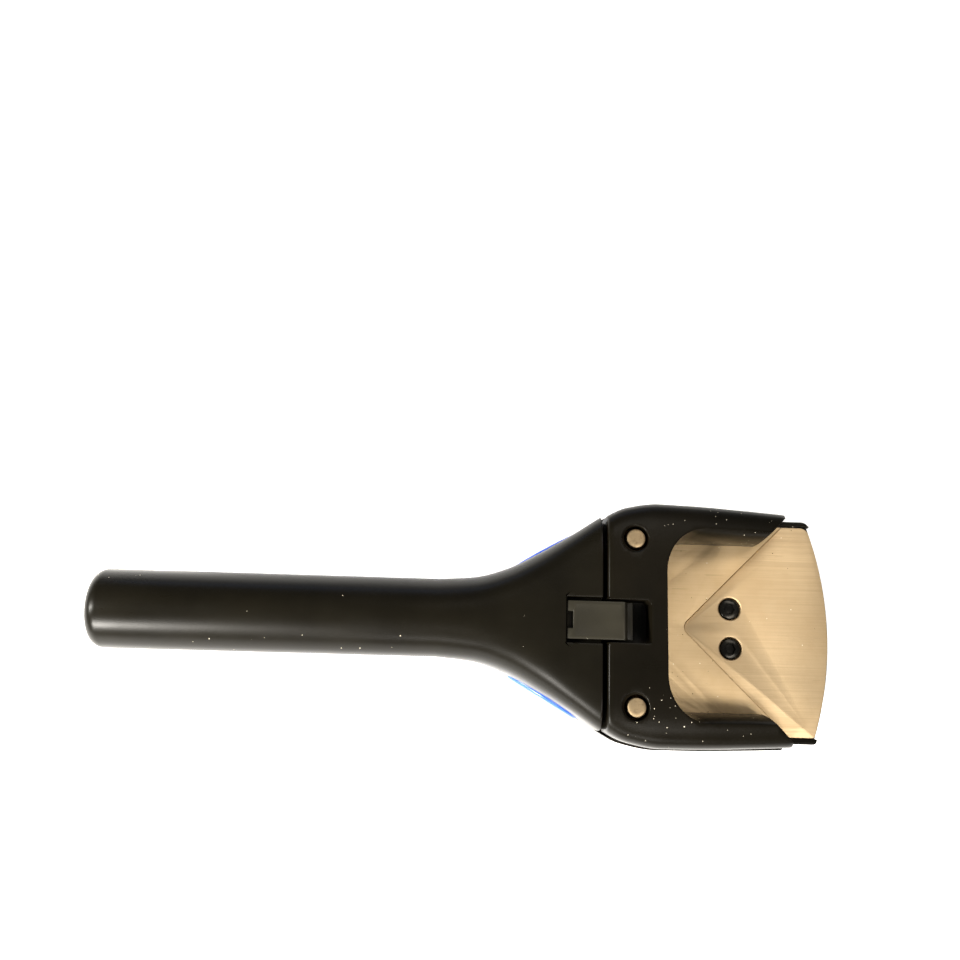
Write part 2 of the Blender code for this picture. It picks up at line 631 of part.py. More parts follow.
def make_lever(look):
    """The steel lever: flat tail in the handle, eye round the pivot, round nose in the yoke."""
    nose = arc(NOSE, NOSE_R, -90.0, 90.0, 10)
    outline = [(LEVER_BACK_X, 8.0), (-27.0, 9.0), (-11.0, NOSE[1] - NOSE_R)] + nose
    outline += [(-5.0, NOSE[1] + NOSE_R), (-12.0, 26.0), (-24.0, 26.0), (-34.0, 20.0), (-44.0, 16.5),
                (LEVER_BACK_X, 15.5)]
    lever = side_prism("cutting_lever", outline, -LEVER_HALF, LEVER_HALF, look)
    cut(lever, turned("lever_eye", [(5.6, -BIG), (5.6, BIG)], PIVOT, across=True))
    cut(lever, turned("nose_hole", [(NOSE_PIN_R + FIT, -BIG), (NOSE_PIN_R + FIT, BIG)], NOSE, across=True))
    for number, spot in enumerate(RIVETS, 1):
        bore = [(RIVET_R + FIT, -BIG), (RIVET_R + FIT, BIG)]
        cut(lever, turned("lever_rivet_hole_%d" % number, bore, spot, across=True))
    return lever


def make_cross_pin(name, spot, radius, half, look):
    profile = [(radius - 0.4, -half), (radius, -half + 0.4), (radius, half - 0.4), (radius - 0.4, half)]
    return turned(name, profile, spot, look, across=True)


# ---------------------------------------------------------------- latch

def make_latch(look):
    """The slider's pad bridges the gap; its keel runs in the housing's narrow slot."""
    outline = [(LATCH_X[0], LATCH_Z[0]), (LATCH_LIP_X, LATCH_Z[0]), (LATCH_LIP_X, LATCH_Z[0] + 0.8),
               (LATCH_X[1], LATCH_Z[1]), (LATCH_X[0], LATCH_Z[1])]
    latch = side_prism("latch_slider", outline, -LATCH_HALF, LATCH_HALF, look)
    cut(latch, box("latch_keel", KEEL_X, (-KEEL_HALF, KEEL_HALF), (KEEL_Z, LATCH_Z[0] + 1)), "UNION")
    cut(latch, box("thumb_notch", (LATCH_X[0] - 1, LATCH_X[0] + 2.0), (-2.9, 2.9), (48.2, 60.0)))
    return latch


# ---------------------------------------------------------------- assembly

def make_axis(name, x, y, z, pieces):
    """An empty on a joint's axis that carries the pieces that move with it."""
    empty = bpy.data.objects.new(name, None)
    bpy.context.scene.collection.objects.link(empty)
    empty.location = place(x, y, z)
    bpy.context.view_layer.update()
    for piece in pieces:
        piece.parent = empty
        piece.matrix_parent_inverse = empty.matrix_world.inverted()


def main():
    clear_scene()
    black = material("satin_black", (0.020, 0.018, 0.016), 0.45, 0.0)
    latch_black = material("latch_black", (0.016, 0.015, 0.014), 0.38, 0.0)
    steel = material("brushed_steel", (0.62, 0.54, 0.44), 0.32, 1.0)
    pin_steel = material("ground_steel", (0.55, 0.50, 0.42), 0.30, 1.0)
    dark_steel = material("black_oxide", (0.03, 0.03, 0.03), 0.40, 0.6)
    spring_steel = material("spring_steel", (0.45, 0.44, 0.42), 0.35, 1.0)
    bronze = material("bronze", (0.50, 0.32, 0.14), 0.40, 1.0)
    blue = material("blue_plastic", (0.03, 0.13, 0.70), 0.35, 0.0)

    make_main_body(black)
    bottom = box("bottom_cover", BOTTOM_X, (-BOTTOM_HALF, BOTTOM_HALF), BOTTOM_Z, black)
    for number, spot in enumerate(BOTTOM_SCREWS, 1):
        cut(bottom, turned("cover_hole_%d" % number, [(1.8, -5.0), (1.8, 10.0)], spot))
        cut(bottom, turned("cover_sink_%d" % number, [(3.2, -5.0), (3.2, 1.9)], spot))
        make_screw("bottom_screw_%d" % number, spot, 0.4, 1.6, 12.0, (2.9, 1.5, 1.3), dark_steel)
    make_base_plate(steel)
    for number, spot in enumerate(PLATE_SCREWS, 1):
        make_screw("base_plate_screw_%d" % number, spot, 25.6, 24.2, 14.0, (3.7, 2.0, 1.75), dark_steel)
    make_cross_pin("pivot_pin", PIVOT, PIVOT_R, PIVOT_HALF, pin_steel)
    for side in (-1, 1):
        tag = "left" if side > 0 else "right"
        make_guide_pin("guide_pin_" + tag, side, pin_steel)
        make_spring("return_spring_" + tag, side, spring_steel)
        layers = [(-CAP_IN, 0.0), (CAP_OUT - 1.4, 0.0), (CAP_OUT - 0.5, 0.7), (CAP_OUT, 2.0)]
        oval("pivot_cap_" + tag, side, layers, blue)

    swinging = [make_handle_shell(black), make_lever(pin_steel)]
    bush = [(5.3, -LEVER_HALF), (5.3, LEVER_HALF), (PIVOT_R + FIT, LEVER_HALF), (PIVOT_R + FIT, -LEVER_HALF)]
    swinging.append(turned("lever_bush", bush, PIVOT, bronze, hollow=True, across=True))
    swinging.append(make_cross_pin("nose_pin", NOSE, NOSE_PIN_R, 10.8, pin_steel))
    for number, spot in enumerate(RIVETS, 1):
        swinging.append(make_cross_pin("lever_rivet_%d" % number, spot, RIVET_R, 10.6, pin_steel))
    for side, tag in ((1, "left"), (-1, "right")):
        near, far = sorted((side * INLAY_Y[0], side * INLAY_Y[1]))
        swinging.append(side_prism("grip_inlay_" + tag, inlay_outline(0.0), near, far, blue))
    make_axis("handle_pivot", PIVOT[0], 0.0, PIVOT[1], swinging)

    lifting = [make_jaw_cover(black), make_upper_blade(steel), make_yoke(pin_steel)]
    for side, tag in ((1, "left"), (-1, "right")):
        lifting.append(make_bushing("guide_bushing_" + tag, side, bronze))
    for number, spot in enumerate(BLADE_SCREWS, 1):
        name = "blade_screw_%d" % number
        lifting.append(make_screw(name, spot, 25.2, 26.6, 35.0, (3.0, 1.6, 1.4), dark_steel))
    for number, spot in enumerate(YOKE_SCREWS, 1):
        name = "yoke_screw_%d" % number
        lifting.append(make_screw(name, spot, 27.8, 26.4, 22.2, (2.8, 1.5, 1.3), dark_steel))
    make_axis("jaw_guide", PIN_X, 0.0, COVER_Z, lifting)
    make_axis("latch_guide", KEEL_X[0], 0.0, LATCH_Z[0], [make_latch(latch_black)])


main()
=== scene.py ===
"""Looks for the hand-held corner rounder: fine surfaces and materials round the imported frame.

Sizes are in millimetres, X from the gap plane towards the head's front, Y across, Z up from the table.
place() turns them into metres in the frame's own axes.
"""
import json
import math

import bmesh
import bpy
from mathutils import Euler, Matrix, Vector
from mathutils.bvhtree import BVHTree

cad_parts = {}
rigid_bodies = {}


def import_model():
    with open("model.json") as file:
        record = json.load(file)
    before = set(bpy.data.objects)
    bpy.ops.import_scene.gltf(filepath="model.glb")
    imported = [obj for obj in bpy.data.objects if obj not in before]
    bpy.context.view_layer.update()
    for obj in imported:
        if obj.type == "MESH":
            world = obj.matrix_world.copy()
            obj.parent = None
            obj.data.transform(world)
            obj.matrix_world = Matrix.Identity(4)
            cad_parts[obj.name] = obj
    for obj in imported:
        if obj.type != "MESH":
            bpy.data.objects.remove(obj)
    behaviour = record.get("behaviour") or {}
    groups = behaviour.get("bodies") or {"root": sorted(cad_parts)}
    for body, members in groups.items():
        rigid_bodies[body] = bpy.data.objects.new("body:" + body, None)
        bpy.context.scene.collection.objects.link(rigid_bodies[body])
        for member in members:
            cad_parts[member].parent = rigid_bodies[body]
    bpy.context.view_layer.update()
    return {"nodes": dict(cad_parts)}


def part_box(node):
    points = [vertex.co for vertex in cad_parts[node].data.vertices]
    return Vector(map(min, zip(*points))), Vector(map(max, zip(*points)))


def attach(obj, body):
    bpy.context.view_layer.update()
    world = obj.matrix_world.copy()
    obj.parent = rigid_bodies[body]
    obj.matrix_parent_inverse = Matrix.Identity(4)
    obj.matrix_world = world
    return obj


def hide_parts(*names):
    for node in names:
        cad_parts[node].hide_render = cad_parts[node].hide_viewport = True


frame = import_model()

MM = 0.001
body_low, body_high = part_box("main_body")
plate_low, plate_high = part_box("base_plate")
shell_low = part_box("lower_handle_shell")[0]
latch_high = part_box("latch_slider")[1]

# The frame gives the length, the gap plane, the plate's levels, the grip's rear end and the latch's
# width and top. The other sizes are written out here.
LENGTH = (body_high.x - body_low.x) / MM
FRONT_X = 84.25
GAP_X = body_high.x / MM - FRONT_X
HANDLE_END_X = FRONT_X - LENGTH
HANDLE_R = 13.75
NECK_R = 13.5
HANDLE_Z = 38.0
END_ROUND = 5.0
GAP_HALF = 0.85
HEAD_TOP_Z = 50.0
PARTING_Z = 27.7
RIM_Z = 25.7
RIM_X = 65.0
DECK_Z = 22.7
DECK_HALF = 37.9
DECK_BACK_X = 2.0
FRONT_R = 120.0
TRIM_LIP = 0.45              # the cut for the rim's front edge lies this far beyond FRONT_X
PLATE_SETBACK = 0.9          # and the plate's front edge this far behind it
RIM_HALF = 39.9
SIDE_HALF = 43.4
RIM_CORNERS = (1.5, 3.5)     # right and left
PLATE_CORNERS = (1.0, 3.5)

# Stations of the outer skin: X, half width, top, bottom, squareness
SKIN = (
    (-57.0, NECK_R, HANDLE_Z + NECK_R, HANDLE_Z - NECK_R, 2.0),
    (-45.0, 14.6, 51.1, 20.0, 2.3),
    (-34.0, 17.9, 50.8, 10.0, 3.0),
    (-22.0, 24.0, 50.4, 2.0, 4.0),
    (-10.0, 31.0, 50.1, -1.0, 5.8),
    (0.0, 37.4, HEAD_TOP_Z, -1.0, 7.0),
    (8.0, 41.3, HEAD_TOP_Z, -1.0, 8.0),
    (20.0, 43.2, HEAD_TOP_Z, -1.0, 8.0),
    (35.0, 43.1, HEAD_TOP_Z, -0.5, 8.0),
    (50.0, 42.6, HEAD_TOP_Z, 4.0, 8.0),
    (76.0, 41.5, HEAD_TOP_Z, 13.5, 8.0),
    (88.0, 41.1, HEAD_TOP_Z, 18.0, 8.0),
)

COVER_INSET = 1.0
COVER_Z = 28.3
# Stations of the cover's top: X, height
COVER_TOP = ((0.0, 50.0), (10.0, 49.4), (25.0, 47.3), (45.0, 43.8), (70.0, 39.4))
EDGE_BREAK = 0.9
WINDOW_BACK_X = 21.5
WINDOW_HALF = 29.8
WINDOW_FLARE = 5.0
WINDOW_CORNERS = (9.0, 18.0)     # at the foot and at the top of the wall
WINDOW_ROUND = 0.35              # share of the wall below its rounded upper edge
COVER_SQUARENESS = 9.0
COVER_BASE_Z = 2.0
APEX_X = 30.4
ARM_END_X = 27.0
ARM_TIP_Y = 39.0
SHEAR_GAP = 0.32
BLADE_Z = (25.0, 28.0)
BLADE_BACK_X = 4.0
BLADE_HALF = 37.2
PLATE_Z = (plate_low.z / MM, plate_high.z / MM)
PLATE_HALF = 37.6
WEDGE_TIP_R = 3.0

PIN_X = 10.7
PIN_Y = 28.5
PIN_R = 3.3
PIN_Z = (2.3, 48.2)
PIN_HOLE_R = 4.3
BUSH_R = 5.7
BUSH_TOP_Z = 38.0

PIVOT = (-19.0, 20.0)
PIVOT_R = 4.0
LEVER_HALF = 5.0
LEVER_BACK_X = -52.0
SHELL_END_X = shell_low.x / MM - GAP_X
SHELL_FRONT_X = -14.0
SHELL_LOW_Z = 0.3
CHANNEL_HALF = 11.9
CHANNEL_FRONT_X = -8.5
CHANNEL_ROOF_Z = 30.5

SHELL_SQUARENESS = 3.4
SHELL_POINTS = 80
SHELL_NOSE = 1.5
SHELL_MIDDLE_Z = 14.5

# Stations of the lower handle: X, half width, top, bottom
SHELL = (
    (-168.0, 12.2, 18.5, SHELL_LOW_Z),
    (-60.0, 12.1, 18.5, SHELL_LOW_Z),
    (-48.0, 11.4, 19.2, 0.8),
    (-40.0, 11.0, 23.0, 1.0),
    (-32.0, 11.0, 27.4, 1.0),
    (SHELL_FRONT_X, 11.0, 28.0, 1.0),
)
GRIP_START_X = -166.0
GRIP_PITCH = 20.0
GRIP_COUNT = 5
GRIP_DEPTH = 2.0
INLAY_X = (-158.0, -56.0)
INLAY_Z = (6.6, 13.4)
INLAY_Y = (10.9, 12.4)
RIVETS = ((-33.0, 12.5), (-43.0, 12.5))
RIVET_R = 2.0

CAP_X = -19.0
CAP_Y = 25.5
CAP_ANGLE = math.radians(30.0)
CAP_HALF = (14.8, 10.8)
CAP_IN = 3.0
CAP_WALL = 0.2           # height of the pad's straight wall
CAP_RISE = 1.1           # rise and width of its rounded shoulder
CAP_SHOULDER = 1.4
CAP_RINGS = 0.8          # step between the crown's rings
CAP_TOP = 1.75           # height of the crown, and its fall towards the shoulder
CAP_DROP = 0.81

CHAMBER_X = (-3.5, 15.5)
CHAMBER_HALF = 12.5
CHAMBER_TOP_Z = 34.0
BOTTOM_X = (-5.0, 20.0)
BOTTOM_HALF = 24.0
BOTTOM_Z = (0.3, 2.8)
LATCH_X = (-12.9, 7.1)
LATCH_LIP_X = 9.5
LATCH_HALF = latch_high.y / MM
LATCH_Z = (46.6, latch_high.z / MM)
LATCH_SLOT_HALF = 7.7
LATCH_FLOOR_Z = 46.3
KEEL_X = (-11.0, -6.5)
KEEL_HALF = 3.0
KEEL_Z = 40.0
RECESS_X = 15.8
RECESS_HALF = 7.3
RECESS_Z = 38.0
RECESS_ROUND = 0.8
RECESS_CHAMFER = 1.3
PLATE_SCREWS = ((48.25, 7.1), (48.25, -7.1))
BOTTOM_SCREWS = ((-2.0, 19.0), (-2.0, -19.0), (16.5, 18.5), (16.5, -18.5))
BLADE_SCREWS = ((12.0, 17.5), (12.0, -17.5), (45.0, 33.4), (45.0, -33.4))
YOKE_SCREWS = ((10.3, 8.3), (10.3, -8.3))

# A screw's three levels (head, under the head, tip) and three radii (head, shank, socket)
PLATE_SCREW = ((25.6, 24.2, 14.0), (3.7, 2.0, 1.75))
BOTTOM_SCREW = ((0.4, 1.6, 12.0), (2.9, 1.5, 1.3))

FIT = 0.3                # gap between neighbours
BIG = 60.0               # past the tool's sides, for cutting shapes
PAST_FRONT = 100.0       # past the head's front, likewise
RING_POINTS = 112        # points in a ring, and steps in a curve
ROUND_STEPS = 64
END_STEPS = 9
BEVEL_ANGLE = 38.0       # degrees, as is the next
SHARP_ANGLE = 42.0
BEVEL_REACH = 1.6        # of its width, which is as far as a sound bevel moves a point
LEAST_BEVEL = 0.04
DUST = (0.52, 0.48, 0.38)    # the colour of the pale flecks on the black mouldings
GRAIN = 0.00004          # metres, depth of the finest surface texture
MERGE = 0.00001          # metres

# The set: places and sizes in metres, turns in degrees and the lens in millimetres
FLOOR_HALF = 4.0
FLOOR_Z = -0.0002
FLOOR_GLOW = 0.3
SKY_COLOR = (1.0, 0.97, 0.90, 1.0)
SKY_STRENGTH = 0.23
CAMERA_AT = (-0.00023, -0.02499, 0.38926)
CAMERA_TURN = (11.963, -0.774, 1.621)
CAMERA_LENS = 37.5

# Name, place, target, size, watts, colour
LAMPS = (
    ("key", (-0.44, -0.56, 0.46), (-0.10, 0.0, 0.03), (0.20, 0.14), 26.0, (1.0, 0.96, 0.89)),
    ("tail", (-0.66, -0.02, 0.48), (0.0, 0.0, 0.03), (0.10, 0.26), 15.0, (1.0, 0.97, 0.90)),
    ("front_bank", (0.34, -0.44, 0.82), (0.09, 0.0, 0.02), (0.50, 0.20), 4.5, (1.0, 0.95, 0.87)),
    ("rear_bank", (0.34, 0.46, 0.85), (0.09, 0.0, 0.02), (0.55, 0.25), 2.3, (1.0, 0.94, 0.85)),
    ("low_front", (0.12, -0.80, 0.38), (0.06, 0.0, 0.03), (0.60, 0.14), 4.0, (1.0, 0.97, 0.92)),
    ("cool_fill", (-0.05, 0.60, 0.16), (0.0, 0.0, 0.03), (0.6, 0.12), 0.6, (0.45, 0.62, 1.0)),
)


# ---------------------------------------------------------------- mesh helpers

def place(x, y, z):
    """A point of this file's millimetres in the frame's metres."""
    return Vector(((x + GAP_X) * MM, y * MM, z * MM))


def cutters_for(name):
    """A collection outside the scene that holds one piece's cutting shapes."""
    return bpy.data.collections.new(name)


def link(name, mesh, group=None):
    obj = bpy.data.objects.new(name, mesh)
    if group is None:
        bpy.context.scene.collection.objects.link(obj)
    else:
        group.objects.link(obj)
    return obj


def loft(name, rings, group=None):
    """Skins equal rings of points and caps both ends."""
    bm = bmesh.new()
    loops = [[bm.verts.new(place(*point)) for point in ring] for ring in rings]
    count = len(loops[0])
    bm.faces.new(loops[0])
    bm.faces.new(loops[-1])
    for first, second in zip(loops, loops[1:]):
        for i in range(count):
            j = (i + 1) % count
            bm.faces.new((first[i], first[j], second[j], second[i]))
    bmesh.ops.recalc_face_normals(bm, faces=bm.faces)
    mesh = bpy.data.meshes.new(name)
    bm.to_mesh(mesh)
    bm.free()
    return link(name, mesh, group)


def plan_prism(name, outline, low, high, group=None):
    """An outline in X and Y, raised from low to high."""
    return loft(name, [[(x, y, z) for x, y in outline] for z in (low, high)], group)


def side_prism(name, outline, near, far, group=None):
    """An outline in X and Z, drawn across from near to far."""
    return loft(name, [[(x, y, z) for x, z in outline] for y in (near, far)], group)


def box(name, xs, ys, zs, group=None):
    corners = [(xs[0], ys[0]), (xs[1], ys[0]), (xs[1], ys[1]), (xs[0], ys[1])]
    return plan_prism(name, corners, zs[0], zs[1], group)


def circle(centre, radius, steps=ROUND_STEPS):
    turns = [math.tau * i / steps for i in range(steps)]
    return [(centre[0] + radius * math.cos(a), centre[1] + radius * math.sin(a)) for a in turns]


def arc(centre, radius, start, end, steps):
    turns = [math.radians(start + (end - start) * i / steps) for i in range(steps + 1)]
    return [(centre[0] + radius * math.cos(a), centre[1] + radius * math.sin(a)) for a in turns]


def turned(name, profile, centre, group=None, across=False, steps=ROUND_STEPS):
    """A round piece from (radius, station) pairs, along Z or across the tool."""
    rings = []
    for radius, station in profile:
        ring = circle(centre, radius, steps)
        rings.append([(u, station, v) if across else (u, v, station) for u, v in ring])
    return loft(name, rings, group)


def steady(table, x, column):
    """A smooth curve through a table's points, flat beyond its ends and with no overshoot."""
    xs = [row[0] for row in table]
    ys = [row[column] for row in table]
    if x <= xs[0]:
        return ys[0]
    if x >= xs[-1]:
        return ys[-1]
    i = max(k for k in range(len(xs) - 1) if xs[k] <= x)
    steps = [(ys[k + 1] - ys[k]) / (xs[k + 1] - xs[k]) for k in range(len(xs) - 1)]

    def slope(k):
        if k in (0, len(xs) - 1):
            return steps[min(k, len(steps) - 1)]
        before, after = steps[k - 1], steps[k]
        return 0.0 if before * after <= 0 else 2.0 * before * after / (before + after)

    width = xs[i + 1] - xs[i]
    t = (x - xs[i]) / width
    return ((2 * t**3 - 3 * t**2 + 1) * ys[i] + (t**3 - 2 * t**2 + t) * width * slope(i)
            + (3 * t**2 - 2 * t**3) * ys[i + 1] + (t**3 - t**2) * width * slope(i + 1))


def squircle(x, half_width, top, bottom, square, points=RING_POINTS):
    """One section of the skin, its points spread evenly enough to keep the corners round."""
    middle = (top + bottom) / 2
    half_height = (top - bottom) / 2
    ring = []
    for i in range(points):
        a = math.tau * (i + 0.5) / points
        c, s = math.cos(a), math.sin(a)
        reach = (abs(c) ** square + abs(s) ** square) ** (-1 / square)
        ring.append((x, half_width * reach * c, middle + half_height * reach * s))
    return ring


def spaced(start, end, step):
    """Even stations from start to end, at most a step apart."""
    count = max(1, math.ceil((end - start) / step))
    return [start + (end - start) * i / count for i in range(count + 1)]


def carve(obj, group):
    """Cuts every shape in the group out of the piece in one pass, and then drops the shapes."""
    mod = obj.modifiers.new("carve", "BOOLEAN")
    mod.operation = "DIFFERENCE"
    mod.solver = "EXACT"
    mod.use_self = True
    mod.operand_type = "COLLECTION"
    mod.collection = group
    settle(obj)
    for cutter in list(group.objects):
        bpy.data.objects.remove(cutter, do_unlink=True)
    bpy.data.collections.remove(group)


def settle(obj):
    """Replaces the piece's mesh with the result of its modifiers."""
    graph = bpy.context.evaluated_depsgraph_get()
    graph.update()
    mesh = bpy.data.meshes.new_from_object(obj.evaluated_get(graph))
    obj.modifiers.clear()
    obj.data = mesh


def strayed(mesh, surface, reach):
    """True if any of the mesh's points lies further than reach from the surface it came from."""
    for vertex in mesh.vertices:
        if surface.find_nearest(vertex.co, reach)[0] is None:
            return True
    return False


def soften(obj, width):
    """Rounds the piece's hard edges and shades the rest smooth. At a width of 0 it only shades.

    The width is halved when a rounding would throw a point away from the piece's own surface."""
    bm = bmesh.new()
    bm.from_mesh(obj.data)
    bmesh.ops.remove_doubles(bm, verts=bm.verts, dist=MERGE)
    bmesh.ops.dissolve_degenerate(bm, edges=bm.edges, dist=MERGE)
    surface = BVHTree.FromBMesh(bm)
    bm.to_mesh(obj.data)
    bm.free()
    plain = obj.data
    while width > LEAST_BEVEL:
        bevel = obj.modifiers.new("edge", "BEVEL")
        bevel.width = width * MM
        bevel.segments = 2
        bevel.limit_method = "ANGLE"
        bevel.angle_limit = math.radians(BEVEL_ANGLE)
        bevel.use_clamp_overlap = False
        settle(obj)
        if not strayed(obj.data, surface, width * BEVEL_REACH * MM):
            break
        obj.data = plain
        width = width / 2
    obj.data.shade_smooth()
    obj.data.set_sharp_from_angle(angle=math.radians(SHARP_ANGLE))


def dress(obj, body, node, look):
    """Gives a fine piece its material and its body, and hides the CAD node that it stands for."""
    obj.data.materials.clear()
    obj.data.materials.append(look)
    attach(obj, body)
    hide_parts(node)


# ---------------------------------------------------------------- node helpers

def shader_of(name, color, roughness, metallic=0.0):
    mat = bpy.data.materials.new(name)
    mat.use_nodes = True
    shader = mat.node_tree.nodes["Principled BSDF"]
    shader.inputs["Base Color"].default_value = (*color, 1.0)
    shader.inputs["Roughness"].default_value = roughness
    shader.inputs["Metallic"].default_value = metallic
    return mat, mat.node_tree, shader


def coords(tree, scale):
    """Object coordinates in metres, stretched by a scale in each direction."""
    source = tree.nodes.new("ShaderNodeTexCoord")
    mapping = tree.nodes.new("ShaderNodeMapping")
    mapping.inputs["Scale"].default_value = scale
    tree.links.new(source.outputs["Object"], mapping.inputs["Vector"])
    return mapping.outputs["Vector"]


def noise(tree, scale, detail, stretch=(1.0, 1.0, 1.0), rough=0.5):
    node = tree.nodes.new("ShaderNodeTexNoise")
    node.inputs["Scale"].default_value = scale
    node.inputs["Detail"].default_value = detail
    node.inputs["Roughness"].default_value = rough
    tree.links.new(coords(tree, stretch), node.inputs["Vector"])
    return node.outputs["Fac"]


def ramp(tree, value, low, high, start=0.0, end=1.0):
    """Maps a value from low..high onto start..end, held at the ends."""
    node = tree.nodes.new("ShaderNodeMapRange")
    node.inputs["From Min"].default_value = low
    node.inputs["From Max"].default_value = high
    node.inputs["To Min"].default_value = start
    node.inputs["To Max"].default_value = end
    tree.links.new(value, node.inputs["Value"])
    return node.outputs["Result"]


def maths(tree, operation, first, second):
    node = tree.nodes.new("ShaderNodeMath")
    node.operation = operation
    for slot, value in zip(node.inputs, (first, second)):
        if isinstance(value, float):
            slot.default_value = value
        else:
            tree.links.new(value, slot)
    return node.outputs["Value"]


def mix(tree, share, first, second):
    """Mixes two colours; each is a tuple or a socket."""
    node = tree.nodes.new("ShaderNodeMix")
    node.data_type = "RGBA"
    tree.links.new(share, node.inputs["Factor"])
    for key, value in (("A", first), ("B", second)):
        slot = [s for s in node.inputs if s.name == key and s.type == "RGBA"][0]
        if isinstance(value, tuple):
            slot.default_value = (*value, 1.0)
        else:
            tree.links.new(value, slot)
    return [s for s in node.outputs if s.type == "RGBA"][0]


def specks(tree, density, size, share):
    """Scattered flecks: cells of a Voronoi pattern, of which only a share holds a small dot."""
    node = tree.nodes.new("ShaderNodeTexVoronoi")
    node.inputs["Scale"].default_value = density
    node.inputs["Randomness"].default_value = 1.0
    tree.links.new(coords(tree, (1.0, 1.0, 1.0)), node.inputs["Vector"])
    split = tree.nodes.new("ShaderNodeSeparateColor")
    tree.links.new(node.outputs["Color"], split.inputs["Color"])
    chosen = maths(tree, "GREATER_THAN", split.outputs["Red"], 1.0 - share)
    spread = ramp(tree, split.outputs["Green"], 0.0, 1.0, 0.35 * size, size)
    dot = maths(tree, "LESS_THAN", node.outputs["Distance"], spread)
    return maths(tree, "MULTIPLY", chosen, dot)


def bump(tree, shader, height, distance, strength):
    node = tree.nodes.new("ShaderNodeBump")
    node.inputs["Distance"].default_value = distance
    node.inputs["Strength"].default_value = strength
    tree.links.new(height, node.inputs["Height"])
    tree.links.new(node.outputs["Normal"], shader.inputs["Normal"])


def satin_black(name, color, roughness, dusty, gloss):
    """Warm satin black moulding: fine grain, faint rub marks and scattered pale dust."""
    mat, tree, shader = shader_of(name, color, roughness)
    shader.inputs["Specular IOR Level"].default_value = gloss
    cloud = noise(tree, 45.0, 4.0)
    rubbed = noise(tree, 60.0, 5.0, (0.35, 1.0, 1.0), 0.65)
    fine = noise(tree, 2600.0, 2.0)
    tone = mix(tree, ramp(tree, cloud, 0.35, 0.7), color, tuple(c * 1.6 for c in color))
    small = specks(tree, 700.0, 0.13, dusty)
    large = specks(tree, 300.0, 0.080, dusty * 0.45)
    patchy = ramp(tree, noise(tree, 26.0, 2.0), 0.42, 0.60, 0.12, 1.0)
    kept = maths(tree, "LESS_THAN", noise(tree, 330.0, 0.0), patchy)
    dust = maths(tree, "MULTIPLY", maths(tree, "MAXIMUM", small, large), kept)
    gloss_map = ramp(tree, rubbed, 0.3, 0.7, roughness - 0.04, roughness + 0.06)
    tree.links.new(mix(tree, dust, tone, DUST), shader.inputs["Base Color"])
    tree.links.new(gloss_map, shader.inputs["Roughness"])
    bump(tree, shader, fine, GRAIN, 0.5)
    return mat


def brushed_steel(name, color, roughness, lines, dirt, plain_x=None):
    """Ground steel: fine lines along the tool, a warm patina, dark specks and a few bright nicks.

    Behind plain_x, in metres, the lines fade out to a smooth ground finish."""
    mat, tree, shader = shader_of(name, color, roughness, 1.0)
    stretch = (0.010, 1.0, 1.0)
    fine = noise(tree, 3200.0, 3.0, stretch, 0.75)
    broad = noise(tree, 1000.0, 4.0, stretch, 0.65)
    scratches = noise(tree, 1500.0, 1.0, (0.05, 1.0, 1.0), 0.5)
    brush = maths(tree, "ADD", maths(tree, "MULTIPLY", fine, 0.5), maths(tree, "MULTIPLY", broad, 0.5))
    if plain_x is not None:
        split = tree.nodes.new("ShaderNodeSeparateXYZ")
        tree.links.new(coords(tree, (1.0, 1.0, 1.0)), split.inputs["Vector"])
        share = ramp(tree, split.outputs["X"], plain_x - 0.010, plain_x + 0.012, 0.25, 1.0)
        centred = maths(tree, "SUBTRACT", brush, 0.5)
        brush = maths(tree, "ADD", maths(tree, "MULTIPLY", centred, share), 0.5)
    cloud = noise(tree, 34.0, 4.0, rough=0.6)
    mottle = noise(tree, 240.0, 4.0, rough=0.7)
    dark = tuple(c * (1.0 - lines) for c in color)
    bright = tuple(min(1.0, c * (1.0 + lines * 0.5)) for c in color)
    tone = mix(tree, ramp(tree, brush, 0.34, 0.66), dark, bright)
    worn = tuple(c * s for c, s in zip(color, (0.78, 0.72, 0.62)))
    tone = mix(tree, ramp(tree, cloud, 0.42, 0.78, 0.0, 0.55), tone, worn)
    tone = mix(tree, ramp(tree, mottle, 0.50, 0.80, 0.0, 0.22), tone, worn)
    deep = maths(tree, "GREATER_THAN", scratches, 0.735)
    tone = mix(tree, maths(tree, "MULTIPLY", deep, 0.18), tone, (0.20, 0.15, 0.09))
    spots = maths(tree, "MAXIMUM", specks(tree, 560.0, 0.13, dirt), specks(tree, 200.0, 0.070, dirt * 0.5))
    tone = mix(tree, spots, tone, (0.035, 0.025, 0.015))
    small_nicks = specks(tree, 640.0, 0.13, dirt * 0.9)
    large_nicks = specks(tree, 240.0, 0.06, dirt * 0.4)
    tone = mix(tree, maths(tree, "MAXIMUM", small_nicks, large_nicks), tone, (1.0, 0.93, 0.72))
    gloss_map = ramp(tree, brush, 0.3, 0.7, roughness + 0.08, roughness - 0.05)
    tree.links.new(tone, shader.inputs["Base Color"])
    tree.links.new(gloss_map, shader.inputs["Roughness"])
    bump(tree, shader, brush, GRAIN, 0.30)
    return mat


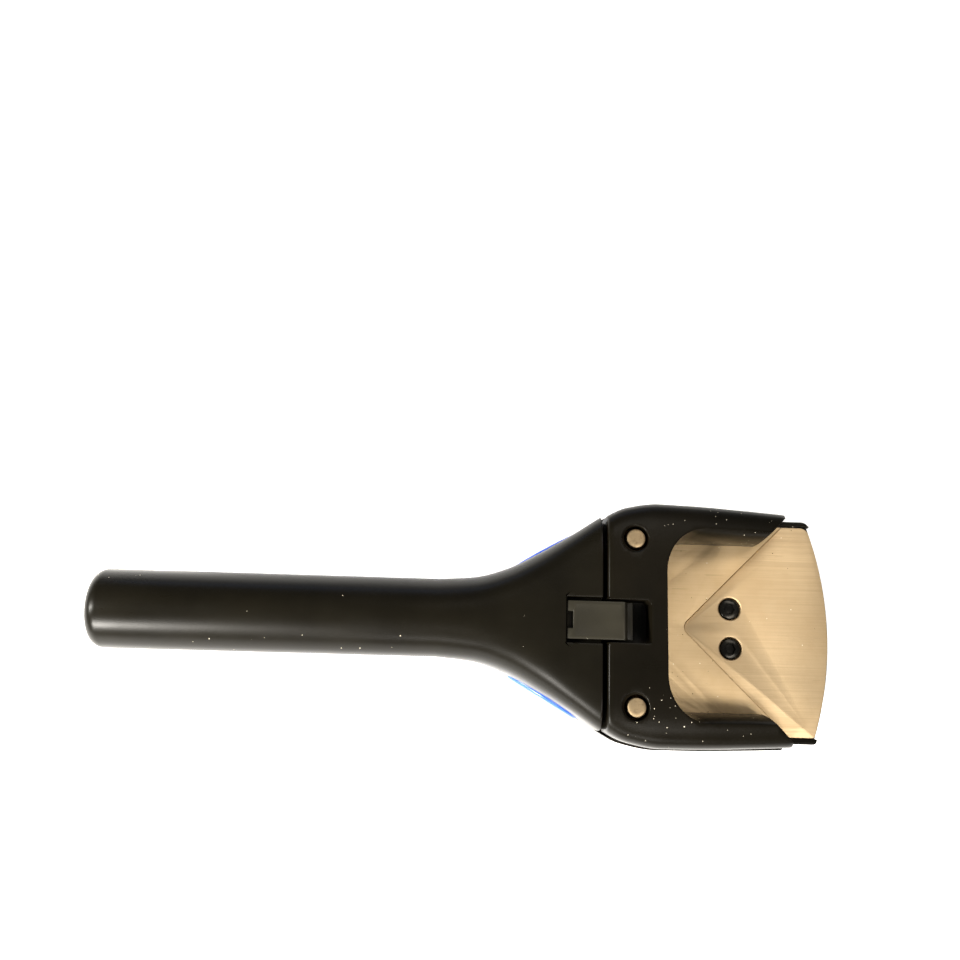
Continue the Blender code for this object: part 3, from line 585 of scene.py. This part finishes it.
def plain_detail(name, color, worn_color, roughness, metallic, grain_scale, wear, cloud_scale=160.0):
    """A piece with fine grain and cloudy wear between two tones."""
    mat, tree, shader = shader_of(name, color, roughness, metallic)
    cloud = noise(tree, cloud_scale, 5.0, rough=0.6)
    fine = noise(tree, grain_scale, 2.0)
    tone = mix(tree, ramp(tree, cloud, 0.5, 0.78, 0.0, wear), color, worn_color)
    tree.links.new(tone, shader.inputs["Base Color"])
    gloss_map = ramp(tree, cloud, 0.3, 0.7, roughness - 0.06, roughness + 0.08)
    tree.links.new(gloss_map, shader.inputs["Roughness"])
    bump(tree, shader, fine, 0.00003, 0.4)
    return mat


# ---------------------------------------------------------------- housing and lower jaw

def body_ring(x):
    """The body's section at x: the round handle behind the neck, the flared head in front of it."""
    neck = SKIN[0][0]
    if x < neck:
        radius = NECK_R + (HANDLE_R - NECK_R) * (neck - x) / (neck - HANDLE_END_X)
        inward = x - (HANDLE_END_X + END_ROUND)
        if inward < 0:
            radius -= END_ROUND - math.sqrt(max(0.0, END_ROUND**2 - inward**2))
        return squircle(x, radius, HANDLE_Z + radius, HANDLE_Z - radius, 2.0)
    return squircle(x, *(steady(SKIN, x, column) for column in (1, 2, 3, 4)))


def round_end(start):
    """Stations that close up towards a rounded rear end."""
    return [start + END_ROUND * (1 - math.cos(math.pi / 2 * i / END_STEPS)) for i in range(END_STEPS + 1)]


def front_edge(front_x, half, corners):
    """The head's bowed front edge from -half to half across, running into its sides with round corners."""
    centre_x = front_x - FRONT_R
    places = []
    for radius in corners:
        reach = math.sqrt((FRONT_R - radius) ** 2 - (half - radius) ** 2)
        turn = math.degrees(math.atan2(half - radius, reach))
        places.append((centre_x + reach, half - radius, turn))
    right, left = places
    edge = arc((right[0], -right[1]), corners[0], -90.0, -right[2], 16)
    edge += arc((centre_x, 0.0), FRONT_R, -right[2], left[2], 48)[1:-1]
    edge += arc((left[0], left[1]), corners[1], left[2], 90.0, 16)
    return edge


def oval(name, side, layers, group=None):
    """Stacked ovals on the housing's slanted side."""
    centre = Vector((CAP_X, side * CAP_Y, PIVOT[1]))
    along = Vector((math.cos(CAP_ANGLE), side * math.sin(CAP_ANGLE), 0.0))
    out = Vector((-math.sin(CAP_ANGLE), side * math.cos(CAP_ANGLE), 0.0))
    rings = []
    for depth, inset in layers:
        ring = []
        for i in range(ROUND_STEPS):
            a = math.tau * i / ROUND_STEPS
            u = (CAP_HALF[0] - inset) * math.cos(a)
            v = (CAP_HALF[1] - inset) * math.sin(a)
            ring.append(tuple(centre + along * u + out * depth + Vector((0.0, 0.0, v))))
        rings.append(ring)
    return loft(name, rings, group)


def make_main_body(look):
    """The housing with the upper handle: the skin, less the room for every other piece."""
    neck, front = SKIN[0][0], SKIN[-1][0]
    stations = round_end(HANDLE_END_X) + spaced(HANDLE_END_X + END_ROUND, neck, 9.0)[1:]
    stations += spaced(neck, 24.0, 1.5)[1:] + spaced(24.0, front, 4.0)[1:]
    body = loft("main_body_skin", [body_ring(x) for x in stations])
    group = cutters_for("body_cuts")
    box("belly_plane", (-BIG * 4, BIG * 3), (-BIG, BIG), (-20.0, 0.0), group)
    box("jaw_space", (-GAP_HALF, PAST_FRONT), (-BIG, BIG), (PARTING_Z, 70.0), group)
    edge = front_edge(FRONT_X + TRIM_LIP, RIM_HALF, RIM_CORNERS)
    trim = [(RIM_X - 1.5, -BIG), (RIM_X - 1.5, -SIDE_HALF), (RIM_X + 2.0, -RIM_HALF)] + edge
    trim += [(RIM_X + 2.0, RIM_HALF), (RIM_X - 1.5, SIDE_HALF), (RIM_X - 1.5, BIG)]
    trim += [(120.0, BIG), (120.0, -BIG)]
    plan_prism("front_trim", trim, -30.0, 70.0, group)
    box("deck_recess", (DECK_BACK_X, PAST_FRONT), (-DECK_HALF, DECK_HALF), (DECK_Z, 40.0), group)
    step = [(RIM_X - 1.0, 29.0), (RIM_X + 1.6, RIM_Z), (110.0, RIM_Z), (110.0, 40.0), (RIM_X - 1.0, 40.0)]
    side_prism("rim_step", step, -BIG, BIG, group)
    box("chamber", CHAMBER_X, (-CHAMBER_HALF, CHAMBER_HALF), (BOTTOM_Z[1], CHAMBER_TOP_Z), group)
    lever_half = LEVER_HALF + 1.3
    pass_x = (CHANNEL_FRONT_X - 1, CHAMBER_X[0] + 1)
    box("lever_pass", pass_x, (-lever_half, lever_half), (11.0, CHAMBER_TOP_Z), group)
    channel = [(-90.0, -5.0), (CHANNEL_FRONT_X, -5.0), (CHANNEL_FRONT_X, CHANNEL_ROOF_Z),
               (-34.0, CHANNEL_ROOF_Z), (-56.0, 20.5), (-90.0, 20.5)]
    side_prism("handle_channel", channel, -CHANNEL_HALF, CHANNEL_HALF, group)
    slot_y = (-LATCH_SLOT_HALF, LATCH_SLOT_HALF)
    box("latch_slot", (LATCH_X[0] - FIT, 0.0), slot_y, (LATCH_FLOOR_Z, BIG), group)
    keel_half = KEEL_HALF + FIT
    box("keel_slot", (KEEL_X[0] - FIT, 0.0), (-keel_half, keel_half), (KEEL_Z - 0.5, 50.0), group)
    turned("pivot_bore", [(PIVOT_R + FIT, -BIG), (PIVOT_R + FIT, BIG)], PIVOT, group, across=True)
    for side in (-1, 1):
        oval("cap_pocket_%d" % side, side, [(-CAP_IN - FIT, -FIT), (12.0, -FIT)], group)
        turned("spring_pocket_%d" % side, [(7.0, 7.7), (7.0, 40.0)], (PIN_X, side * PIN_Y), group)
    recess_half = BOTTOM_HALF + FIT
    box("bottom_recess", (BOTTOM_X[0] - FIT, BOTTOM_X[1] + FIT), (-recess_half, recess_half),
        (-20.0, BOTTOM_Z[1] + FIT), group)
    carve(body, group)
    soften(body, 0.4)
    dress(body, "housing", "main_body", look)


def make_bottom_cover(look):
    """The belly's flat cover with its four sunk screw holes."""
    cover = box("belly_cover", BOTTOM_X, (-BOTTOM_HALF, BOTTOM_HALF), BOTTOM_Z)
    group = cutters_for("bottom_cuts")
    for number, spot in enumerate(BOTTOM_SCREWS, 1):
        profile = [(3.6, -5.0), (3.6, 0.1), (3.2, 0.7), (3.2, 1.9), (1.8, 1.9), (1.8, 10.0)]
        turned("cover_sink_%d" % number, profile, spot, group)
    carve(cover, group)
    soften(cover, 0.35)
    dress(cover, "housing", "bottom_cover", look)


# ---------------------------------------------------------------- blades

def wedge_tip(apex):
    """The rounded tip between two lines that would meet at apex."""
    centre = (apex + WEDGE_TIP_R * math.sqrt(2.0), 0.0)
    return arc(centre, WEDGE_TIP_R, 225.0, 135.0, 20)


def make_base_plate(look):
    """The fixed wedge blade with its bowed front edge."""
    outline = wedge_tip(APEX_X) + [(APEX_X + PLATE_HALF, PLATE_HALF)]
    outline += list(reversed(front_edge(FRONT_X - PLATE_SETBACK, PLATE_HALF, PLATE_CORNERS)))
    outline += [(APEX_X + PLATE_HALF, -PLATE_HALF)]
    plate = plan_prism("fixed_blade", outline, *PLATE_Z)
    group = cutters_for("plate_cuts")
    top = PLATE_Z[1]
    for number, spot in enumerate(PLATE_SCREWS, 1):
        profile = [(2.4, 10.0), (2.4, 23.9), (4.0, 23.9), (4.0, top - 0.3), (4.5, top + 0.2), (4.5, 40.0)]
        turned("plate_hole_%d" % number, profile, spot, group)
    carve(plate, group)
    soften(plate, 0.25)
    dress(plate, "housing", "base_plate", look)


def make_upper_blade(look):
    """The moving blade, whose notch clears the wedge by the shear gap."""
    apex = APEX_X - SHEAR_GAP * math.sqrt(2.0)
    outline = [(BLADE_BACK_X, -BLADE_HALF), (apex + BLADE_HALF, -BLADE_HALF)] + wedge_tip(apex)
    outline += [(apex + BLADE_HALF, BLADE_HALF), (BLADE_BACK_X, BLADE_HALF)]
    blade = plan_prism("moving_blade", outline, *BLADE_Z)
    group = cutters_for("blade_cuts")
    hole_r = PIN_R + 0.4
    for side in (-1, 1):
        turned("blade_pin_hole_%d" % side, [(hole_r, 20.0), (hole_r, 40.0)], (PIN_X, side * PIN_Y), group)
    for number, spot in enumerate(BLADE_SCREWS, 1):
        turned("blade_hole_%d" % number, [(3.3, 20.0), (3.3, 26.9), (1.9, 26.9), (1.9, 40.0)], spot, group)
    for number, spot in enumerate(YOKE_SCREWS, 1):
        turned("yoke_hole_%d" % number, [(1.8, 20.0), (1.8, 26.1), (3.1, 26.1), (3.1, 40.0)], spot, group)
    carve(blade, group)
    soften(blade, 0.2)
    dress(blade, "upper_jaw", "upper_blade", look)


# ---------------------------------------------------------------- jaw cover

def cover_ring(x, shrink=0.0):
    """The cover's section at x, narrower than the skin by the inset; its lower part is cut off later."""
    half = steady(SKIN, x, 1) - COVER_INSET - shrink
    top = steady(COVER_TOP, x, 1) - shrink
    return squircle(x, half, top, COVER_BASE_Z, COVER_SQUARENESS)


def window_ring(share):
    """The U window's plan at a share of the wall's height; its upper edge rounds over into the top."""
    rounding = min(1.0, max(0.0, (share - WINDOW_ROUND) / (1.0 - WINDOW_ROUND)))
    flare = WINDOW_FLARE * (1 - math.sqrt(1 - rounding**2))
    half = WINDOW_HALF + flare
    r = WINDOW_CORNERS[0] + (WINDOW_CORNERS[1] - WINDOW_CORNERS[0]) * flare / WINDOW_FLARE
    corner_right = arc((WINDOW_BACK_X + r, -half + r), r, 270.0, 180.0, 32)
    corner_left = arc((WINDOW_BACK_X + r, half - r), r, 180.0, 90.0, 32)
    along = (50.0, 60.0, 70.0, 84.0, PAST_FRONT)
    plan = [(x, -half) for x in reversed(along)] + corner_right + corner_left + [(x, half) for x in along]
    ring = []
    for x, y in plan:
        top = steady(COVER_TOP, x, 1) + 0.2
        ring.append((x, y, COVER_Z + (top - COVER_Z) * share))
    return ring


def make_jaw_cover(look):
    """The upper jaw's moulding, with the U window, the latch recess and the two pin holes."""
    rings = []
    for i in range(5):
        a = math.pi / 2 * i / 4
        shrink = EDGE_BREAK * (1 - math.sin(a))
        rings.append(cover_ring(GAP_HALF + EDGE_BREAK * (1 - math.cos(a)), shrink))
    stations = spaced(GAP_HALF + EDGE_BREAK, 24.0, 1.5)[1:] + spaced(24.0, 76.0, 4.0)[1:]
    cover = loft("upper_jaw_cover", rings + [cover_ring(x) for x in stations])
    group = cutters_for("cover_cuts")
    box("cover_underside", (-10.0, PAST_FRONT), (-BIG, BIG), (-30.0, COVER_Z), group)
    rounded = [WINDOW_ROUND + (1 - WINDOW_ROUND) * math.sin(math.pi / 2 * i / 16) for i in range(17)]
    loft("window", [window_ring(share) for share in [-0.5, 0.0] + rounded + [1.5]], group)
    tip_x = ARM_END_X + ARM_TIP_Y
    ends = [(ARM_END_X, 0.0), (tip_x, -ARM_TIP_Y), (tip_x, -BIG), (140.0, -BIG), (140.0, BIG),
            (tip_x, BIG), (tip_x, ARM_TIP_Y)]
    plan_prism("arm_ends", ends, 10.0, 60.0, group)
    r = RECESS_ROUND
    recess = [(-5.0, -RECESS_HALF)] + arc((RECESS_X - r, -RECESS_HALF + r), r, 270.0, 360.0, 8)
    recess += [(RECESS_X, RECESS_HALF - RECESS_CHAMFER), (RECESS_X - RECESS_CHAMFER, RECESS_HALF)]
    recess.append((-5.0, RECESS_HALF))
    plan_prism("latch_recess", recess, RECESS_Z, 60.0, group)
    top = steady(COVER_TOP, PIN_X, 1)
    profile = [(BUSH_R + FIT, 20.0), (BUSH_R + FIT, BUSH_TOP_Z + FIT), (PIN_HOLE_R, BUSH_TOP_Z + FIT),
               (PIN_HOLE_R, top - 0.8), (PIN_HOLE_R + 1.0, top + 0.2), (PIN_HOLE_R + 1.0, BIG)]
    for side in (-1, 1):
        turned("pin_hole_%d" % side, profile, (PIN_X, side * PIN_Y), group)
    carve(cover, group)
    soften(cover, 0.45)
    dress(cover, "upper_jaw", "jaw_cover", look)


# ---------------------------------------------------------------- small turned pieces

def make_screw(node, spot, size, look):
    """A screw with a hexagon socket, its head up or down."""
    (head_z, under_z, tip_z), (head_r, shank_r, socket_r) = size
    up = 1.0 if head_z > under_z else -1.0
    profile = [(shank_r * 0.8, tip_z), (shank_r, tip_z + 0.4 * up), (shank_r, under_z), (head_r, under_z),
               (head_r, head_z - 0.45 * up), (head_r - 0.15, head_z - 0.2 * up), (head_r - 0.4, head_z)]
    screw = turned(node + "_fine", profile, spot, steps=40)
    group = cutters_for(node + "_cuts")
    floor = head_z - 0.75 * abs(head_z - under_z) * up
    rings = []
    for radius, z in ((socket_r * 0.5, floor - 0.1 * up), (socket_r, floor), (socket_r, head_z - 0.25 * up),
                      (socket_r + 0.5, head_z + 0.25 * up), (socket_r + 0.5, head_z + 2.0 * up)):
        rings.append([(x, y, z) for x, y in circle(spot, radius, 6)])
    loft(node + "_hexagon", rings, group)
    carve(screw, group)
    soften(screw, 0.0)
    dress(screw, "housing", node, look)


def make_guide_pin(node, side, look):
    """A guide pin, chamfered at its foot and rounded at its upper edge."""
    low, high = PIN_Z
    profile = [(PIN_R - 0.6, low), (PIN_R, low + 0.6), (PIN_R, high - 0.7), (PIN_R - 0.2, high - 0.25),
               (PIN_R - 0.7, high - 0.03), (PIN_R - 1.6, high), (0.4, high)]
    pin = turned(node + "_fine", profile, (PIN_X, side * PIN_Y), steps=48)
    soften(pin, 0.0)
    dress(pin, "housing", node, look)


def make_pivot_cap(node, side, look):
    """A domed oval pad: a short wall, a rounded shoulder, a shallow ring groove and a low crown."""
    layers = [(-CAP_IN, 0.0), (CAP_WALL, 0.0)]
    for i in range(1, 7):
        a = math.pi / 2 * i / 6
        layers.append((CAP_WALL + CAP_RISE * math.sin(a), CAP_SHOULDER * (1 - math.cos(a))))
    for i in range(1, 12):
        inset = CAP_SHOULDER + i * CAP_RINGS
        layers.append((CAP_TOP - CAP_DROP * ((10.2 - inset) / 9.6) ** 2, inset))
    cap = oval(node + "_fine", side, layers)
    soften(cap, 0.0)
    dress(cap, "housing", node, look)


# ---------------------------------------------------------------- lower handle

def shell_ring(x):
    """The lower handle's section at x, with the finger grips underneath and a rounded rear end."""
    half, top, bottom = (steady(SHELL, x, column) for column in (1, 2, 3))
    along = (x - GRIP_START_X) / GRIP_PITCH
    if 0.0 < along < GRIP_COUNT:
        bottom += GRIP_DEPTH * (1 - math.cos(math.tau * along)) / 2
    inward = x - (SHELL_END_X + END_ROUND)
    if inward < 0:
        shrink = END_ROUND - math.sqrt(max(0.0, END_ROUND**2 - inward**2))
        half -= shrink
        top -= shrink
        bottom += shrink
    return squircle(x, half, top, bottom, SHELL_SQUARENESS, SHELL_POINTS)


def inlay_outline(grow):
    """The blue strip's long outline with round ends, in X and Z."""
    low, high = INLAY_Z[0] - grow, INLAY_Z[1] + grow
    radius = (high - low) / 2
    middle = (high + low) / 2
    rear = arc((INLAY_X[0] + radius - grow, middle), radius, 270.0, 90.0, 24)
    front = arc((INLAY_X[1] - radius + grow, middle), radius, 90.0, -90.0, 24)
    return rear + front


def make_handle_shell(look):
    """The lower handle's moulding with its finger grips, the lever's slot and the strips' pockets."""
    nose_x = SHELL_FRONT_X - SHELL_NOSE
    stations = round_end(SHELL_END_X) + spaced(SHELL_END_X + END_ROUND, nose_x, 1.6)[1:]
    rings = [shell_ring(x) for x in stations]
    middle = SHELL_MIDDLE_Z
    for i in range(1, 5):
        a = math.pi / 2 * i / 4
        x = SHELL_FRONT_X - SHELL_NOSE * (1 - math.sin(a))
        scale = 1 - SHELL_NOSE * (1 - math.cos(a)) / SHELL[-1][1]
        rings.append([(x, y * scale, middle + (z - middle) * scale) for x, y, z in shell_ring(x)])
    shell = loft("grip_shell", rings)
    group = cutters_for("shell_cuts")
    slot_half = LEVER_HALF + FIT
    box("lever_slot", (LEVER_BACK_X - FIT, 0.0), (-slot_half, slot_half), (7.7, 60.0), group)
    turned("shell_bore", [(PIVOT_R + FIT, -BIG), (PIVOT_R + FIT, BIG)], PIVOT, group, across=True)
    hole = [(RIVET_R + FIT, -BIG), (RIVET_R + FIT, BIG)]
    for number, spot in enumerate(RIVETS, 1):
        turned("rivet_hole_%d" % number, hole, spot, group, across=True)
    for side in (-1, 1):
        near, far = sorted((side * (INLAY_Y[0] - FIT), side * 30.0))
        side_prism("inlay_pocket_%d" % side, inlay_outline(FIT), near, far, group)
    carve(shell, group)
    soften(shell, 0.35)
    dress(shell, "lower_handle", "lower_handle_shell", look)


def make_inlay(node, side, look):
    """The blue strip, with a rounded outer edge."""
    back, face = INLAY_Y
    rings = []
    levels = ((back, 0.0), (face - 0.6, 0.0), (face - 0.25, 0.15), (face - 0.06, 0.4), (face, 0.9))
    for depth, inset in levels:
        rings.append([(x, side * depth, z) for x, z in inlay_outline(-inset)])
    strip = loft(node + "_fine", rings)
    soften(strip, 0.0)
    dress(strip, "lower_handle", node, look)


# ---------------------------------------------------------------- latch

def make_latch(look):
    """The slider: a pad with a raised border, a thumb notch, a keel below and a low lip in front."""
    low, high = LATCH_Z
    lip = low + 0.8
    outline = [(LATCH_X[0], low), (LATCH_LIP_X, low), (LATCH_LIP_X, lip), (LATCH_X[1] + 0.5, lip + 0.1),
               (LATCH_X[1], high - 0.6), (LATCH_X[1] - 0.5, high), (LATCH_X[0], high)]
    latch = side_prism("slide_latch", outline, -LATCH_HALF, LATCH_HALF)
    keel = box("latch_keel", KEEL_X, (-KEEL_HALF, KEEL_HALF), (KEEL_Z, low + 1))
    join = latch.modifiers.new("keel", "BOOLEAN")
    join.operation = "UNION"
    join.solver = "EXACT"
    join.object = keel
    settle(latch)
    bpy.data.objects.remove(keel, do_unlink=True)
    group = cutters_for("latch_cuts")
    box("thumb_notch", (LATCH_X[0] - 1, LATCH_X[0] + 2.0), (-2.9, 2.9), (low + 0.4, 60.0), group)
    pad_x = (LATCH_X[0] + 2.8, LATCH_X[1] - 1.6)
    pad_half = LATCH_HALF - 1.0
    rings = []
    for grow, z in ((-0.3, high - 0.12), (0.0, high), (0.4, high + 1.0)):
        xs = (pad_x[0] - grow, pad_x[1] + grow)
        half = pad_half + grow
        rings.append([(xs[0], -half, z), (xs[1], -half, z), (xs[1], half, z), (xs[0], half, z)])
    loft("pad_hollow", rings, group)
    carve(latch, group)
    soften(latch, 0.22)
    dress(latch, "latch", "latch_slider", look)


# ---------------------------------------------------------------- stage, camera and light

def make_stage():
    """A plain pale floor just under the tool, with a little light of its own to keep the shadows faint."""
    bm = bmesh.new()
    for x, y in ((-1, -1), (1, -1), (1, 1), (-1, 1)):
        bm.verts.new((x * FLOOR_HALF, y * FLOOR_HALF, FLOOR_Z))
    bm.faces.new(bm.verts)
    mesh = bpy.data.meshes.new("floor")
    bm.to_mesh(mesh)
    bm.free()
    floor = bpy.data.objects.new("floor", mesh)
    bpy.context.scene.collection.objects.link(floor)
    mat, _, shader = shader_of("floor_paper", (0.93, 0.93, 0.93), 0.8)
    shader.inputs["Specular IOR Level"].default_value = 0.1
    shader.inputs["Emission Color"].default_value = (1.0, 1.0, 1.0, 1.0)
    shader.inputs["Emission Strength"].default_value = FLOOR_GLOW
    mesh.materials.append(mat)


def make_light(name, location, target, size, power, color):
    """A rectangular lamp, in metres and watts, turned towards its target."""
    data = bpy.data.lights.new(name, "AREA")
    data.shape = "RECTANGLE"
    data.size, data.size_y = size
    data.energy = power
    data.color = color
    lamp = bpy.data.objects.new(name, data)
    bpy.context.scene.collection.objects.link(lamp)
    lamp.location = location
    aim = Vector(target) - Vector(location)
    lamp.rotation_euler = aim.to_track_quat("-Z", "Y").to_euler()


def make_lights():
    """An even warm sky and the lamps, with no tone curve over the colours."""
    world = bpy.data.worlds.new("studio")
    world.use_nodes = True
    sky = world.node_tree.nodes["Background"]
    sky.inputs["Color"].default_value = SKY_COLOR
    sky.inputs["Strength"].default_value = SKY_STRENGTH
    scene = bpy.context.scene
    scene.world = world
    scene.view_settings.view_transform = "Standard"
    for lamp in LAMPS:
        make_light(*lamp)


def make_camera():
    """The photo's viewpoint: nearly straight down, tipped towards the tool's left side."""
    data = bpy.data.cameras.new("camera")
    data.sensor_width = 36.0
    data.lens = CAMERA_LENS
    data.clip_start = 0.01
    camera = bpy.data.objects.new("camera", data)
    bpy.context.scene.collection.objects.link(camera)
    camera.location = CAMERA_AT
    camera.rotation_euler = Euler([math.radians(a) for a in CAMERA_TURN], "XYZ")
    bpy.context.scene.camera = camera


# ---------------------------------------------------------------- everything

def keep_node(node, look):
    """A CAD piece whose shape is right keeps its mesh and takes a finer material."""
    obj = frame["nodes"][node]
    obj.data.materials.clear()
    obj.data.materials.append(look)


def main():
    make_camera()
    make_stage()
    make_lights()
    black = satin_black("satin_black_moulding", (0.0026, 0.0022, 0.0013), 0.30, 0.14, 0.075)
    cover_black = satin_black("cover_black_moulding", (0.0026, 0.0021, 0.0012), 0.30, 0.50, 0.07)
    grip_black = satin_black("grip_black_moulding", (0.0040, 0.0034, 0.0024), 0.40, 0.12, 0.09)
    latch_black = satin_black("latch_black_moulding", (0.0100, 0.0090, 0.0062), 0.36, 0.20, 0.15)
    brushed_from = (GAP_X + 50.0) * MM
    plate_steel = brushed_steel("brushed_plate", (0.56, 0.425, 0.26), 0.50, 0.15, 0.05, brushed_from)
    blade_steel = brushed_steel("ground_blade", (0.66, 0.50, 0.30), 0.54, 0.05, 0.22)
    pin_worn = (0.11, 0.075, 0.04)
    pin_steel = plain_detail("pin_steel", (0.28, 0.21, 0.125), pin_worn, 0.46, 1.0, 900.0, 1.0, 520.0)
    lever_steel = plain_detail("lever_steel", (0.50, 0.47, 0.43), (0.30, 0.27, 0.24), 0.36, 1.0, 1500.0, 0.5)
    wire_worn = (0.25, 0.24, 0.23)
    spring_steel = plain_detail("spring_steel", (0.45, 0.44, 0.42), wire_worn, 0.32, 1.0, 2500.0, 0.4)
    oxide = plain_detail("black_oxide", (0.020, 0.019, 0.017), (0.050, 0.043, 0.033), 0.24, 0.9, 1800.0, 0.5)
    # The bearing bronze is darkened well below its own colour: painted shade for the bushing tops seen down
    # the pin holes.
    shade_darkened_bronze = plain_detail("bearing_bronze", (0.22, 0.13, 0.055), (0.12, 0.07, 0.03), 0.50, 1.0, 1600.0, 0.5)
    blue = plain_detail("blue_moulding", (0.005, 0.055, 0.38), (0.010, 0.075, 0.45), 0.32, 0.0, 1800.0, 0.5)

    make_main_body(black)
    make_bottom_cover(black)
    make_jaw_cover(cover_black)
    make_base_plate(plate_steel)
    make_upper_blade(blade_steel)
    make_latch(latch_black)
    make_handle_shell(grip_black)
    for side, tag in ((1, "left"), (-1, "right")):
        make_guide_pin("guide_pin_" + tag, side, pin_steel)
        make_pivot_cap("pivot_cap_" + tag, side, blue)
        make_inlay("grip_inlay_" + tag, side, blue)
        keep_node("guide_bushing_" + tag, shade_darkened_bronze)
        keep_node("return_spring_" + tag, spring_steel)
    for number, spot in enumerate(PLATE_SCREWS, 1):
        make_screw("base_plate_screw_%d" % number, spot, PLATE_SCREW, oxide)
    for number, spot in enumerate(BOTTOM_SCREWS, 1):
        make_screw("bottom_screw_%d" % number, spot, BOTTOM_SCREW, oxide)
    for number in (1, 2, 3, 4):
        keep_node("blade_screw_%d" % number, oxide)
    for number in (1, 2):
        keep_node("yoke_screw_%d" % number, oxide)
        keep_node("lever_rivet_%d" % number, lever_steel)
    for node in ("cutting_lever", "pull_yoke", "pivot_pin", "nose_pin"):
        keep_node(node, lever_steel)
    keep_node("lever_bush", shade_darkened_bronze)

    bpy.context.view_layer.update()

    def plain(bounds):
        return [[float(v) for v in corner] for corner in bounds]


main()
